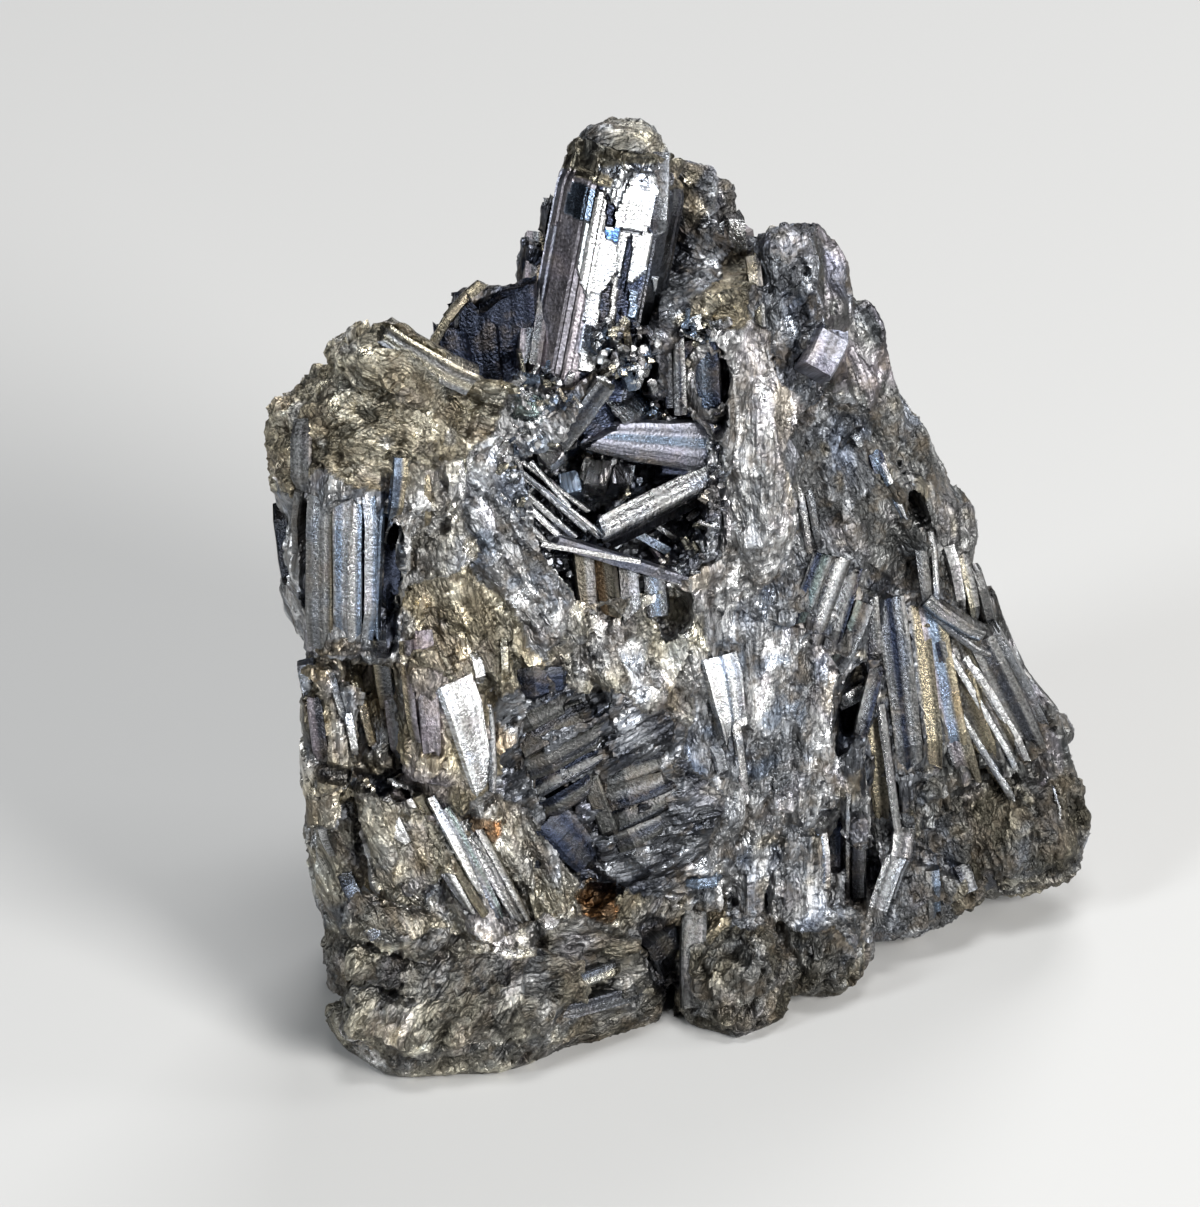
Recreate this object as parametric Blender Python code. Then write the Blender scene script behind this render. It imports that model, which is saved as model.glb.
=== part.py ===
"""Stibnite crystal spray: a hand specimen of lead-grey blades grown together into one steep,
lumpy mass, with a small hollow in its front that is lined with loose-looking crystals.

The specimen stands on a trimmed flat base. Units in this file are millimetres until a point
is handed to Blender, which works in metres; +Z is up and the front looks towards -Y.
"""

import math
import random

import bmesh
import bpy
from mathutils import Matrix, Vector, noise

MM = 0.001

# ---- driving dimensions, in millimetres and degrees ----
ORIGIN = Vector((3.08, 26.6, -2.0))  # middle of the trimmed base, as the lists below measure
FRONT_EDGE = -28.0  # left end of the front face at the base
FRONT_TURN = 0.413  # how fast the front face runs back towards its right end
FRONT_LEAN = 0.236  # how fast it leans back with height
SIGHT_SLOPE = math.radians(30)  # heights on the front are read up a plane that leans this much

RING_POINTS = 34  # points round each level of the core
RING_LEVELS = 12  # levels of the core
CORNER = 0.72  # below 1 the core's plan is squarer than an ellipse

PIT_GAP = 0.42  # clear gap between the hollow's crust and the mass round it
SMALL_BLADE = 4.0  # blades narrower than this end in a plain break
CRUST_WALL = 1.7  # thickness of the crust that lines the hollow

# Core levels: height, left end, right end, how far the front is set back under the right
# side, and the depth of the back face at the middle.
LEVELS = (
    (-4.0, -32.0, 29.0, 9.0, 43.0),
    (0.0, -33.0, 35.0, 6.0, 45.0),
    (6.0, -33.5, 40.5, 2.5, 47.0),
    (12.0, -33.5, 40.5, 0.5, 48.0),
    (20.0, -34.0, 37.5, 0.0, 48.0),
    (30.0, -34.5, 34.5, 0.0, 47.5),
    (40.0, -34.5, 31.5, 0.0, 47.0),
    (50.0, -35.0, 26.0, 0.0, 46.5),
    (58.0, -31.0, 20.5, 0.0, 46.0),
    (65.0, -22.0, 18.5, 1.0, 45.5),
    (71.0, -10.0, 15.0, 3.0, 44.5),
)
BACK_TURN = 0.2  # how fast the back face runs back towards its right end

# Lumps on the front: centre (across, up, proud), radii (across, up, deep), turn, seed.
FRONT_LUMPS = (
    ((-28.4, 61.8, -9.0), (11.4, 11.6, 11.5), 8, 1),  # left shoulder
    ((-26.8, 70.4, -6.5), (6.6, 5.0, 7.0), -24, 2),  # its rounded top
    ((-32.4, 53.0, -8.0), (5.4, 8.0, 8.0), 0, 3),
    ((-19.8, 6.4, -5.6), (14.8, 7.6, 10.0), 12, 4),  # left foot
    ((-6.0, 9.2, -6.6), (8.0, 4.6, 8.0), 8, 5),
    ((7.4, 9.6, -3.4), (6.6, 8.3, 10.2), 6, 6),  # middle foot
    ((14.0, 77.8, -10.0), (5.8, 9.4, 8.0), 4, 7),  # right peak
    ((17.6, 71.0, -10.0), (5.2, 8.0, 8.0), 28, 8),
    ((23.6, 60.0, -9.5), (5.0, 9.0, 8.0), 24, 9),  # right flank
    ((36.8, 24.2, -9.0), (8.4, 7.0, 9.0), -16, 10),  # right foot
    ((10.0, 62.0, -5.0), (4.6, 14.5, 7.5), -2, 11),  # column right of the hollow
    ((-2.0, 30.0, -7.5), (12.5, 12.0, 8.5), 20, 12),  # middle swell
    ((2.0, 81.0, -16.0), (7.5, 10.5, 7.0), 0, 13),  # ridge behind the big prism
    ((-4.0, 92.0, -10.0), (5.2, 4.2, 5.2), -6, 14),  # knob on top of the prism
    ((-15.0, 48.0, -6.6), (9.0, 10.5, 7.0), 30, 15),
    ((25.0, 18.0, -8.0), (9.6, 5.4, 8.0), 14, 16),
    ((9.0, 73.5, -9.0), (3.8, 4.5, 6.0), 0, 17),
    ((15.8, 12.6, -3.8), (6.4, 5.6, 9.0), 20, 18),
)

# Lumps on the sides and back: centre (x, y, z), radii (x, y, z), turn, seed.
BACK_LUMPS = (
    ((-27.0, 24.0, 14.0), (9.5, 14.0, 13.0), 0, 21),
    ((-28.0, 24.0, 44.0), (10.5, 11.5, 14.0), 0, 22),
    ((-12.0, 41.0, 20.0), (13.0, 9.0, 15.0), 0, 23),
    ((16.0, 46.0, 16.0), (14.0, 7.5, 14.0), 0, 24),
    ((4.0, 44.0, 48.0), (13.0, 7.5, 15.0), 0, 25),
    ((28.0, 44.0, 24.0), (8.0, 8.0, 11.0), 0, 26),
    ((-14.0, 38.0, 60.0), (9.0, 7.0, 9.0), 0, 27),
)

# Single blades: foot and tip (across, up, proud), width, thickness, roll.
BLADES = (
    # the crown
    ((-8.6, 62.0, -10.5), (-3.4, 95.0, -9.0), 10.2, 9.0, 22),  # big prism
    ((-4.3, 69.0, -7.0), (-0.6, 91.8, -6.0), 4.6, 5.0, -12),
    ((-12.4, 66.0, -13.0), (-8.6, 89.4, -13.5), 5.0, 3.6, 10),
    ((-13.4, 66.0, -12.0), (-12.0, 84.4, -12.5), 3.4, 3.0, -15),
    ((-14.6, 64.0, -13.0), (-16.8, 79.8, -12.0), 8.6, 2.4, 14),  # flat dark blade
    ((-17.0, 64.0, -12.0), (-20.5, 75.6, -11.0), 5.5, 2.4, 6),
    ((-13.0, 68.0, -2.5), (-27.5, 76.0, -3.5), 4.6, 4.2, 10),  # ridge of the left shoulder
    ((3.6, 72.0, -12.5), (3.2, 92.6, -12.0), 4.6, 4.4, 24),
    ((7.2, 72.0, -16.0), (5.4, 91.2, -15.0), 4.4, 4.0, -20),
    ((9.0, 70.0, -12.0), (8.2, 84.8, -13.5), 4.0, 4.0, 30),
    ((13.2, 66.0, -4.5), (12.8, 86.8, -5.5), 6.8, 7.2, 8),  # right peak
    ((19.0, 64.0, -7.5), (15.2, 85.2, -8.5), 6.2, 6.0, -28),
    ((23.5, 58.0, -6.5), (18.6, 79.2, -8.0), 6.4, 6.0, -34),
    ((27.6, 48.0, -6.0), (23.6, 67.8, -7.5), 6.4, 6.0, -30),
    ((17.4, 69.0, -3.5), (16.0, 74.6, 1.2), 3.6, 4.4, 30),  # small tilted tablet
    # left side
    ((-33.0, 67.0, 0.2), (-35.2, 45.4, 0.8), 2.4, 1.6, 12),
    ((-29.4, 64.0, -0.6), (-32.0, 41.6, 1.0), 4.6, 3.6, -8),
    ((-25.8, 62.0, -1.0), (-28.6, 40.6, 0.4), 4.0, 3.8, 16),
    ((-34.0, 56.0, -5.0), (-33.0, 38.5, -4.0), 4.0, 4.0, 40),
    ((-33.8, 41.5, -1.5), (-33.6, 24.5, -1.5), 3.4, 3.6, 20),
    ((-31.0, 39.5, -0.5), (-32.5, 28.5, 0.6), 3.2, 2.6, -10),
    ((-24.5, 43.0, -1.0), (-22.5, 29.0, 0.8), 5.0, 3.2, 18),
    ((-20.6, 41.5, -0.5), (-17.8, 26.8, 1.6), 4.8, 3.0, -14),  # bright blade, left
    ((6.0, 43.5, -1.2), (7.8, 33.6, 1.0), 3.8, 2.6, 16),  # bright blade, middle
    ((20.4, 46.2, -1.6), (20.2, 32.8, 0.4), 1.8, 1.8, 20),
    ((24.4, 34.0, -2.6), (25.0, 24.6, -0.6), 2.4, 2.2, 0),
    ((25.2, 26.0, -2.4), (22.2, 13.6, -0.6), 2.6, 2.0, 12),
    ((38.8, 34.0, -9.0), (41.4, 35.4, -5.0), 5.2, 4.2, 40),  # nub on the right edge
    ((34.6, 48.5, -7.5), (43.0, 22.5, -6.5), 5.4, 5.0, 34),  # smooth right edge
    ((17.8, 20.2, -3.6), (18.2, 13.4, -1.6), 2.6, 2.2, 24),
    ((-11.8, 52.4, -2.6), (0.0, 50.9, -0.4), 2.6, 2.2, -16),
)

# Rows of blades on the front: first and last foot, first and last tip, count, width,
# thickness, seed. Feet and tips are spaced evenly between their ends, a little unevenly.
FRONT_ROWS = (
    ((21.8, 48.0, -4.2), (27.4, 47.4, -5.4), (23.8, 27.4, -1.6), (34.0, 27.6, -3.4), 5, 3.2, 2.4, 31),
    ((26.6, 47.0, -4.4), (31.8, 46.0, -5.0), (36.6, 28.0, -2.6), (40.4, 32.0, -5.0), 4, 2.0, 2.4, 32),
    ((20.6, 52.4, -3.4), (15.6, 53.6, -3.0), (17.8, 41.4, 0.2), (14.2, 45.6, 0.0), 3, 2.6, 2.8, 33),
    ((26.0, 59.0, -5.0), (31.0, 57.6, -6.0), (28.0, 47.0, -2.8), (33.0, 45.4, -4.4), 4, 1.9, 2.2, 34),
    ((26.6, 48.6, -3.0), (29.0, 47.2, -3.6), (33.8, 43.6, -1.4), (35.2, 41.2, -2.6), 2, 2.0, 1.8, 35),
    ((-22.6, 29.6, -1.2), (-13.0, 29.2, -1.4), (-17.2, 14.2, 1.2), (-10.4, 15.6, 1.0), 4, 2.4, 2.4, 36),
    ((-29.4, 30.2, -2.4), (-23.8, 30.0, -2.2), (-26.6, 17.4, 0.2), (-21.0, 19.0, 0.4), 3, 3.0, 2.6, 37),
    ((-12.4, 34.0, -1.6), (-4.6, 19.6, -1.4), (2.0, 39.6, -0.2), (4.6, 25.6, 0.2), 5, 3.8, 5.0, 38),
    ((9.4, 46.0, -1.6), (18.0, 44.0, -2.0), (9.6, 27.0, 0.8), (20.4, 23.0, 0.6), 5, 2.6, 2.6, 39),
    ((5.6, 27.0, -1.6), (15.6, 24.0, -2.0), (5.0, 16.2, 0.6), (15.6, 13.8, 0.6), 4, 2.8, 2.6, 40),
    ((27.4, 28.0, -5.0), (39.6, 27.4, -7.2), (27.0, 17.8, -2.0), (40.6, 20.4, -4.4), 5, 2.8, 2.8, 41),
    ((-19.6, 56.0, -0.6), (-17.4, 63.0, -0.8), (-9.4, 41.6, 1.6), (-2.4, 47.6, 1.4), 5, 3.4, 2.6, 42),
    ((-20.0, 49.0, -0.8), (-8.0, 45.6, -0.6), (-14.4, 37.6, 1.6), (-3.4, 38.0, 1.4), 4, 3.2, 2.8, 43),
    ((-31.0, 17.0, -3.4), (-31.4, 6.0, -3.2), (-20.8, 13.2, -0.4), (-19.6, 3.6, -0.6), 3, 4.0, 3.2, 44),
    ((6.6, 75.0, -3.6), (12.6, 72.6, -3.4), (7.2, 47.6, -0.4), (12.4, 45.4, -0.4), 3, 3.0, 3.0, 45),
    ((-12.0, 14.4, -1.8), (-11.0, 8.0, -2.2), (-0.8, 13.2, 0.2), (-0.8, 7.2, 0.0), 3, 3.4, 3.0, 46),
)

# Rows of blades on the back and sides: as above, with feet and tips as (x, y, z).
BACK_ROWS = (
    ((-22.0, 37.0, 2.0), (24.0, 48.0, 2.0), (-20.0, 42.0, 40.0), (20.0, 51.0, 46.0), 6, 7.2, 4.8, 51),
    ((-18.0, 38.0, 26.0), (16.0, 46.0, 30.0), (-15.0, 45.0, 66.0), (11.0, 50.0, 74.0), 5, 6.8, 4.8, 52),
    ((-6.0, 42.0, 52.0), (14.0, 44.0, 54.0), (-4.0, 46.0, 81.0), (12.0, 45.0, 72.0), 3, 5.6, 4.6, 53),
    ((26.0, 44.0, 3.0), (37.0, 40.0, 3.0), (19.0, 48.0, 50.0), (25.0, 42.0, 40.0), 3, 5.6, 4.8, 54),
    ((-31.0, 10.0, 4.0), (-29.0, 32.0, 4.0), (-33.6, 12.0, 36.0), (-32.0, 30.0, 40.0), 3, 6.0, 4.6, 55),
    ((-30.0, 16.0, 36.0), (-27.0, 32.0, 38.0), (-31.5, 19.0, 58.0), (-25.0, 31.0, 60.0), 2, 6.4, 5.0, 56),
)

# Hollows cut into the mass: centre (across, up, proud), radii (across, up, deep), turn, seed.
HOLLOW = ((-4.2, 58.4, -2.0), (12.2, 11.8, 12.5), -20, 61)
PITS = (
    ((4.4, 70.4, -6.0), (3.4, 5.6, 6.0), 0, 62),  # cleft under the crown
    ((1.2, 46.8, -0.5), (2.2, 3.2, 5.0), 0, 63),  # round pocket under the sill
    ((-26.4, 51.8, 0.5), (1.1, 8.6, 3.2), -4, 64),
    ((19.4, 36.6, -1.0), (2.0, 5.8, 5.0), -14, 65),
    ((0.9, 6.2, -3.0), (0.8, 5.2, 8.0), -10, 66),  # notch between the feet
    ((-6.2, 18.4, -0.5), (3.2, 1.8, 3.4), 10, 67),
    ((25.6, 58.0, -4.0), (1.5, 6.6, 4.0), 26, 68),
    ((-25.0, 28.4, 0.0), (6.4, 1.8, 3.6), -22, 69),
    ((22.4, 19.0, -1.6), (1.6, 4.0, 3.4), 0, 70),
    ((-9.6, 70.0, -5.0), (2.6, 2.6, 4.0), 0, 71),
)

# Crystals of the hollow's crust: foot and tip (across, up, proud), width, thickness, roll.
CRUST_BLADES = (
    ((8.0, 62.8, -7.0), (-5.6, 64.2, -2.8), 4.4, 2.4, -24),  # blunt slab pointing left
    ((7.6, 61.2, -6.0), (-5.8, 56.0, -3.0), 2.4, 2.2, 16),  # long bar across the hollow
    ((-10.6, 62.0, -9.0), (-5.6, 68.6, -3.6), 3.2, 2.8, 30),
    ((-8.4, 60.4, -9.5), (-4.6, 66.2, -5.0), 2.4, 2.2, 0),
    ((-2.4, 66.4, -10.0), (-2.8, 67.0, -3.2), 4.2, 4.0, 0),  # stubby prism, end on
    ((-11.4, 64.6, -8.0), (-12.2, 65.4, -3.4), 3.0, 2.8, 10),
    ((-10.2, 60.0, -9.0), (-10.4, 61.6, -3.0), 2.6, 2.6, 30),
    ((-6.6, 58.0, -11.0), (-7.2, 60.0, -4.4), 3.0, 2.6, 0),
    ((-4.4, 57.0, -11.5), (-3.2, 60.4, -5.0), 2.6, 2.6, 20),
    ((-14.0, 60.0, -7.0), (-7.8, 52.4, -3.0), 1.8, 1.8, 0),
    ((-14.0, 57.4, -6.4), (-9.8, 52.0, -3.0), 1.8, 1.8, 14),
    ((-14.5, 52.4, -2.4), (8.0, 49.8, -2.0), 2.4, 2.0, 0),  # sill of the hollow
    ((-10.0, 50.6, -3.6), (4.0, 48.2, -3.0), 2.6, 2.0, 20),
    ((2.6, 64.0, -10.5), (3.2, 66.0, -5.4), 2.6, 2.2, 0),
)


# ---- placing ----
def place(point):
    """A point in the lists' millimetres as a point in metres about the footprint's middle."""
    return (Vector(point) - ORIGIN) * MM


def front(across, up, proud=0.0):
    """The point of the mean front face this far across and up it, then moved out of it."""
    turned = FRONT_TURN * (across - FRONT_EDGE)
    sine, cosine = math.sin(SIGHT_SLOPE), math.cos(SIGHT_SLOPE)
    height = (up - turned * sine) / (FRONT_LEAN * sine + cosine)
    point = Vector((across, turned + FRONT_LEAN * height, height))
    return place(point + Vector((0.0, -cosine, sine)) * proud)


def upright_frame(origin, turn):
    """Axes of a front lump: X across, Y up the sight plane, Z out of it, turned about Z."""
    lean = Matrix.Rotation(math.pi / 2 - SIGHT_SLOPE, 4, "X")
    return Matrix.Translation(origin) @ lean @ Matrix.Rotation(math.radians(turn), 4, "Z")


def blade_frame(foot, tip, outward, roll):
    """Axes of a blade: Z from foot to tip, Y as near outward as it can be, then rolled."""
    along = (tip - foot).normalized()
    side = outward.cross(along).normalized()
    face = along.cross(side)
    axes = Matrix((side, face, along)).transposed().to_4x4()
    return Matrix.Translation(foot) @ axes @ Matrix.Rotation(math.radians(roll), 4, "Z")


# ---- objects ----
def clear_scene():
    for thing in list(bpy.data.objects):
        bpy.data.objects.remove(thing, do_unlink=True)


def new_collection(name):
    group = bpy.data.collections.new(name)
    bpy.context.scene.collection.children.link(group)
    return group


def new_object(name, bm, group, frame=None, helper=False):
    """Turns a bmesh into an object of the group; a helper is left out of the model."""
    mesh = bpy.data.meshes.new(name)
    bmesh.ops.recalc_face_normals(bm, faces=bm.faces)
    bm.to_mesh(mesh)
    bm.free()
    made = bpy.data.objects.new(name, mesh)
    group.objects.link(made)
    if frame is not None:
        made.matrix_world = frame
    if helper:
        made.hide_render = True
        made.display_type = "WIRE"
    return made


def metal(name, colour, roughness):
    """The metallic lustre of stibnite, as a Principled material."""
    finish = bpy.data.materials.new(name)
    finish.use_nodes = True
    shader = finish.node_tree.nodes["Principled BSDF"]
    shader.inputs["Base Color"].default_value = (*colour, 1.0)
    shader.inputs["Metallic"].default_value = 1.0
    shader.inputs["Roughness"].default_value = roughness
    return finish


# ---- the pieces of growth ----
def level_at(share):
    """The core's level at this share of its height, between the rows of LEVELS."""
    low, high = LEVELS[0][0], LEVELS[-1][0]
    height = low + share * (high - low)
    for below, above in zip(LEVELS, LEVELS[1:]):
        if height <= above[0]:
            break
    part = (height - below[0]) / (above[0] - below[0])
    return [a + (b - a) * part for a, b in zip(below, above)]


def core_point(angle, share):
    """A point of the core's skin: angle goes round it and share goes up it."""
    height, left, right, set_back, back = level_at(share)
    ends = math.copysign(abs(math.cos(angle)) ** CORNER, math.cos(angle))
    depth = math.copysign(abs(math.sin(angle)) ** CORNER, math.sin(angle))
    across = (left + right) / 2 + ends * (right - left) / 2
    under_right = min(1.0, max(0.0, (across + 10.0) / 30.0))
    near = FRONT_TURN * (across - FRONT_EDGE) + FRONT_LEAN * height + set_back * under_right
    far = back + BACK_TURN * across
    return Vector((across, (near + far) / 2 + depth * (far - near) / 2, height))


def roughness_at(point, coarse, fine):
    """Height of the broken surface over a point: broad lumps with smaller ones on them."""
    return coarse * noise.noise(point / 9.0) + fine * noise.noise(point / 3.6 + Vector((7, 3, 1)))


def make_core(group):
    """The body of the mass: a lofted wedge with a lumpy skin."""
    bm = bmesh.new()
    bmesh.ops.create_grid(bm, x_segments=RING_POINTS, y_segments=RING_LEVELS, size=1.0)
    for vert in bm.verts:
        vert.co = core_point(vert.co.x * math.pi, (vert.co.y + 1.0) / 2.0)
    bmesh.ops.remove_doubles(bm, verts=bm.verts, dist=0.01)
    bmesh.ops.holes_fill(bm, edges=bm.edges)
    bmesh.ops.recalc_face_normals(bm, faces=bm.faces)
    bm.normal_update()
    shifts = {vert: vert.normal * roughness_at(vert.co, 2.6, 1.3) for vert in bm.verts}
    for vert, shift in shifts.items():
        vert.co = place(vert.co + shift)
    bmesh.ops.triangulate(bm, faces=bm.faces)  # flat facets
    return new_object("stibnite_cluster", bm, group)


def make_lump(name, frame, radii, seed, group, grow=0.0):
    """A broken lump: the flat-faced hull of a stretched ball with its corners knocked about."""
    rng = random.Random(seed)
    bm = bmesh.new()
    bmesh.ops.create_icosphere(bm, subdivisions=1 if min(radii) < 2.1 else 2, radius=1.0)
    for vert in bm.verts:
        shake = Vector((rng.uniform(-1, 1), rng.uniform(-1, 1), rng.uniform(-1, 1)))
        swell = (vert.co + 0.3 * shake).normalized() * rng.uniform(0.9, 1.06)
        vert.co = Vector([axis * (size + grow) for axis, size in zip(swell, radii)]) * MM
    bmesh.ops.delete(bm, geom=bm.faces[:], context="FACES_ONLY")
    bmesh.ops.delete(bm, geom=bm.edges[:], context="EDGES_FACES")
    hull = bmesh.ops.convex_hull(bm, input=bm.verts)
    inside = {part for part in hull["geom_interior"] if isinstance(part, bmesh.types.BMVert)}
    bmesh.ops.delete(bm, geom=list(inside), context="VERTS")
    return new_object(name, bm, group, frame, helper=True)


def make_blade(name, foot, tip, width, thickness, outward, roll, group, seed):
    """A blade: a flattened six-sided prism, drawn in to a blunt tip that is broken askew."""
    rng = random.Random(seed)
    length = (tip - foot).length
    point = min(0.25 * length, 0.6 * min(width, thickness) * MM)
    bm = bmesh.new()
    bmesh.ops.create_cone(
        bm, cap_ends=True, segments=6, radius1=0.5 * MM, radius2=0.5 * MM, depth=length - point
    )
    bmesh.ops.rotate(bm, verts=bm.verts, matrix=Matrix.Rotation(math.radians(30), 3, "Z"))
    bmesh.ops.scale(bm, verts=bm.verts, vec=(width * 1.15, thickness, 1.0))
    bmesh.ops.translate(bm, verts=bm.verts, vec=(0, 0, (length - point) / 2))
    end = max(bm.faces, key=lambda face: face.calc_center_median().z)
    if width > SMALL_BLADE:
        inset = 0.26 * min(width, thickness) * MM
        bmesh.ops.inset_region(bm, faces=[end], thickness=inset, depth=0.0)
    bmesh.ops.translate(bm, verts=end.verts, vec=(0, 0, point))
    askew = Vector((rng.uniform(-0.5, 0.5), rng.uniform(-0.3, 0.3), 1.0)).normalized()
    cut = bmesh.ops.bisect_plane(
        bm,
        geom=bm.verts[:] + bm.edges[:] + bm.faces[:],
        plane_co=(0, 0, length - 0.45 * point),
        plane_no=askew,
        clear_outer=True,
    )
    rim = [part for part in cut["geom_cut"] if isinstance(part, bmesh.types.BMEdge)]
    bmesh.ops.contextual_create(bm, geom=rim)
    return new_object(name, bm, group, blade_frame(foot, tip, outward, roll), helper=True)


def row_of_points(row, seed):
    """Feet and tips of a row of blades, evenly spaced between its ends and a little uneven."""
    rng = random.Random(seed)
    first_foot, last_foot, first_tip, last_tip, count = row
    for index in range(count):
        share = (index + rng.uniform(-0.18, 0.18)) / max(1, count - 1)
        share = min(1.0, max(0.0, share))
        foot = Vector(first_foot).lerp(Vector(last_foot), share)
        tip = Vector(first_tip).lerp(Vector(last_tip), share)
        tip = foot + (tip - foot) * rng.uniform(0.88, 1.06)
        yield foot, tip, rng.uniform(0.8, 1.2), rng.uniform(-28, 28)


def outward_of_front():
    return Vector((0.0, -math.cos(SIGHT_SLOPE), math.sin(SIGHT_SLOPE)))


def grow_lumps(group):
    for index, (centre, radii, turn, seed) in enumerate(FRONT_LUMPS):
        make_lump(f"front_lump_{index}", upright_frame(front(*centre), turn), radii, seed, group)
    for index, (centre, radii, turn, seed) in enumerate(BACK_LUMPS):
        frame = Matrix.Translation(place(centre)) @ Matrix.Rotation(math.radians(turn), 4, "Z")
        make_lump(f"back_lump_{index}", frame, radii, seed, group)


def grow_blades(group):
    outward = outward_of_front()
    for index, (foot, tip, width, thickness, roll) in enumerate(BLADES):
        ends = front(*foot), front(*tip)
        make_blade(f"blade_{index}", *ends, width, thickness, outward, roll, group, index)
    for number, (*row, width, thickness, seed) in enumerate(FRONT_ROWS):
        for index, (foot, tip, scale, roll) in enumerate(row_of_points(row, seed)):
            name = f"front_row_{number}_{index}"
            sizes = width * scale, thickness * scale
            make_blade(name, front(*foot), front(*tip), *sizes, outward, roll, group, seed + index)
    middle = place(ORIGIN + Vector((0.0, 4.0, 0.0)))
    for number, (*row, width, thickness, seed) in enumerate(BACK_ROWS):
        for index, (foot, tip, scale, roll) in enumerate(row_of_points(row, seed)):
            name = f"back_row_{number}_{index}"
            foot, tip = place(foot), place(tip)
            away = ((foot + tip) / 2 - middle) * Vector((1, 1, 0))
            sizes = width * scale, thickness * scale
            make_blade(name, foot, tip, *sizes, away.normalized(), roll, group, seed + index)


def make_ground(group):
    """The block that trims the base flat."""
    bm = bmesh.new()
    bmesh.ops.create_cube(bm, size=1.0)
    bmesh.ops.scale(bm, verts=bm.verts, vec=(0.2, 0.2, 0.05))
    bmesh.ops.translate(bm, verts=bm.verts, vec=(0.0, 0.0, -0.025))
    return new_object("ground", bm, group, helper=True)


def make_hollow(name, group, grow):
    centre, radii, turn, seed = HOLLOW
    return make_lump(name, upright_frame(front(*centre), turn), radii, seed, group, grow)


def add_boolean(target, operation, collection=None, tool=None):
    step = target.modifiers.new(operation.lower(), "BOOLEAN")
    step.operation = operation
    step.solver = "EXACT"
    if collection is not None:
        step.operand_type = "COLLECTION"
        step.collection = collection
    else:
        step.object = tool
    return step


def settle(target):
    """Applies the modifiers and keeps the outer skin only, so no sealed void is left inside."""
    graph = bpy.context.evaluated_depsgraph_get()
    solid = bpy.data.meshes.new_from_object(target.evaluated_get(graph))
    bm = bmesh.new()
    bm.from_mesh(solid)
    bmesh.ops.triangulate(bm, faces=bm.faces)
    skin = max(islands(bm), key=len)
    loose = [face for face in bm.faces if face not in skin]
    bmesh.ops.delete(bm, geom=loose, context="FACES")
    bmesh.ops.transform(bm, matrix=target.matrix_world, verts=bm.verts)
    bm.to_mesh(solid)
    bm.free()
    target.modifiers.clear()
    target.data = solid
    target.matrix_world = Matrix.Identity(4)


def islands(bm):
    """The sets of faces that hang together by their edges."""
    left = set(bm.faces)
    found = []
    while left:
        edge_of_set = [left.pop()]
        island = set(edge_of_set)
        while edge_of_set:
            face = edge_of_set.pop()
            for edge in face.edges:
                for other in edge.link_faces:
                    if other in left:
                        left.remove(other)
                        island.add(other)
                        edge_of_set.append(other)
        found.append(island)
    return found


# ---- the two nodes ----
def make_cluster(parts, growth, cutters):
    """The grown-together mass: core, lumps and blades in one solid, with its hollows cut."""
    cluster = make_core(parts)
    grow_lumps(growth)
    grow_blades(growth)
    make_ground(cutters)
    make_hollow("hollow_room", cutters, 0.0)
    for index, (centre, radii, turn, seed) in enumerate(PITS):
        make_lump(f"pit_{index}", upright_frame(front(*centre), turn), radii, seed, cutters)
    add_boolean(cluster, "UNION", growth)
    add_boolean(cluster, "DIFFERENCE", cutters)
    settle(cluster)
    cluster.data.materials.append(metal("stibnite", (0.42, 0.42, 0.44), 0.32))
    return cluster


def make_crust(parts, growth, cutters):
    """The crust of small crystals that lines the hollow, clear of the mass all round."""
    outer = make_hollow("hollow_crystals", parts, -PIT_GAP)
    outer.hide_render = False
    outer.display_type = "TEXTURED"
    limit = make_hollow("hollow_limit", cutters, -PIT_GAP)
    make_hollow("hollow_inside", cutters, -PIT_GAP - CRUST_WALL)
    add_boolean(outer, "DIFFERENCE", tool=bpy.data.objects["hollow_inside"])
    mouth = make_mouth(cutters)
    add_boolean(outer, "DIFFERENCE", tool=mouth)
    outward = outward_of_front()
    for index, (foot, tip, width, thickness, roll) in enumerate(CRUST_BLADES):
        ends = front(*foot), front(*tip)
        make_blade(f"crust_blade_{index}", *ends, width, thickness, outward, roll, growth, 90 + index)
    add_boolean(outer, "UNION", growth)
    add_boolean(outer, "INTERSECT", tool=limit)
    settle(outer)
    outer.data.materials.append(metal("stibnite_hollow", (0.36, 0.37, 0.4), 0.22))
    return outer


def make_mouth(group):
    """The block that opens the crust towards the front."""
    centre, radii, turn, _ = HOLLOW
    bm = bmesh.new()
    bmesh.ops.create_cube(bm, size=60.0 * MM)
    bmesh.ops.translate(bm, verts=bm.verts, vec=(0.0, 0.0, 30.0 * MM))
    frame = upright_frame(front(centre[0], centre[1], -3.6), turn)
    return new_object("hollow_mouth", bm, group, frame, helper=True)


def main():
    clear_scene()
    parts = new_collection("stibnite_crystal_spray")
    growth = new_collection("growth")
    cutters = new_collection("cutters")
    crust_growth = new_collection("crust_growth")
    crust_cutters = new_collection("crust_cutters")
    make_cluster(parts, growth, cutters)
    make_crust(parts, crust_growth, crust_cutters)


main()
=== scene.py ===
"""The look of a stibnite crystal spray: a lead-grey, bladed mass with a crystal-lined hollow.

Lists are in millimetres, measured as on the solids: across the front, up it, and proud of it.
"""

import math
import random
from collections import namedtuple

import bmesh
import bpy
import numpy as np
from mathutils import Matrix, Vector, noise
from mathutils.bvhtree import BVHTree


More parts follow.
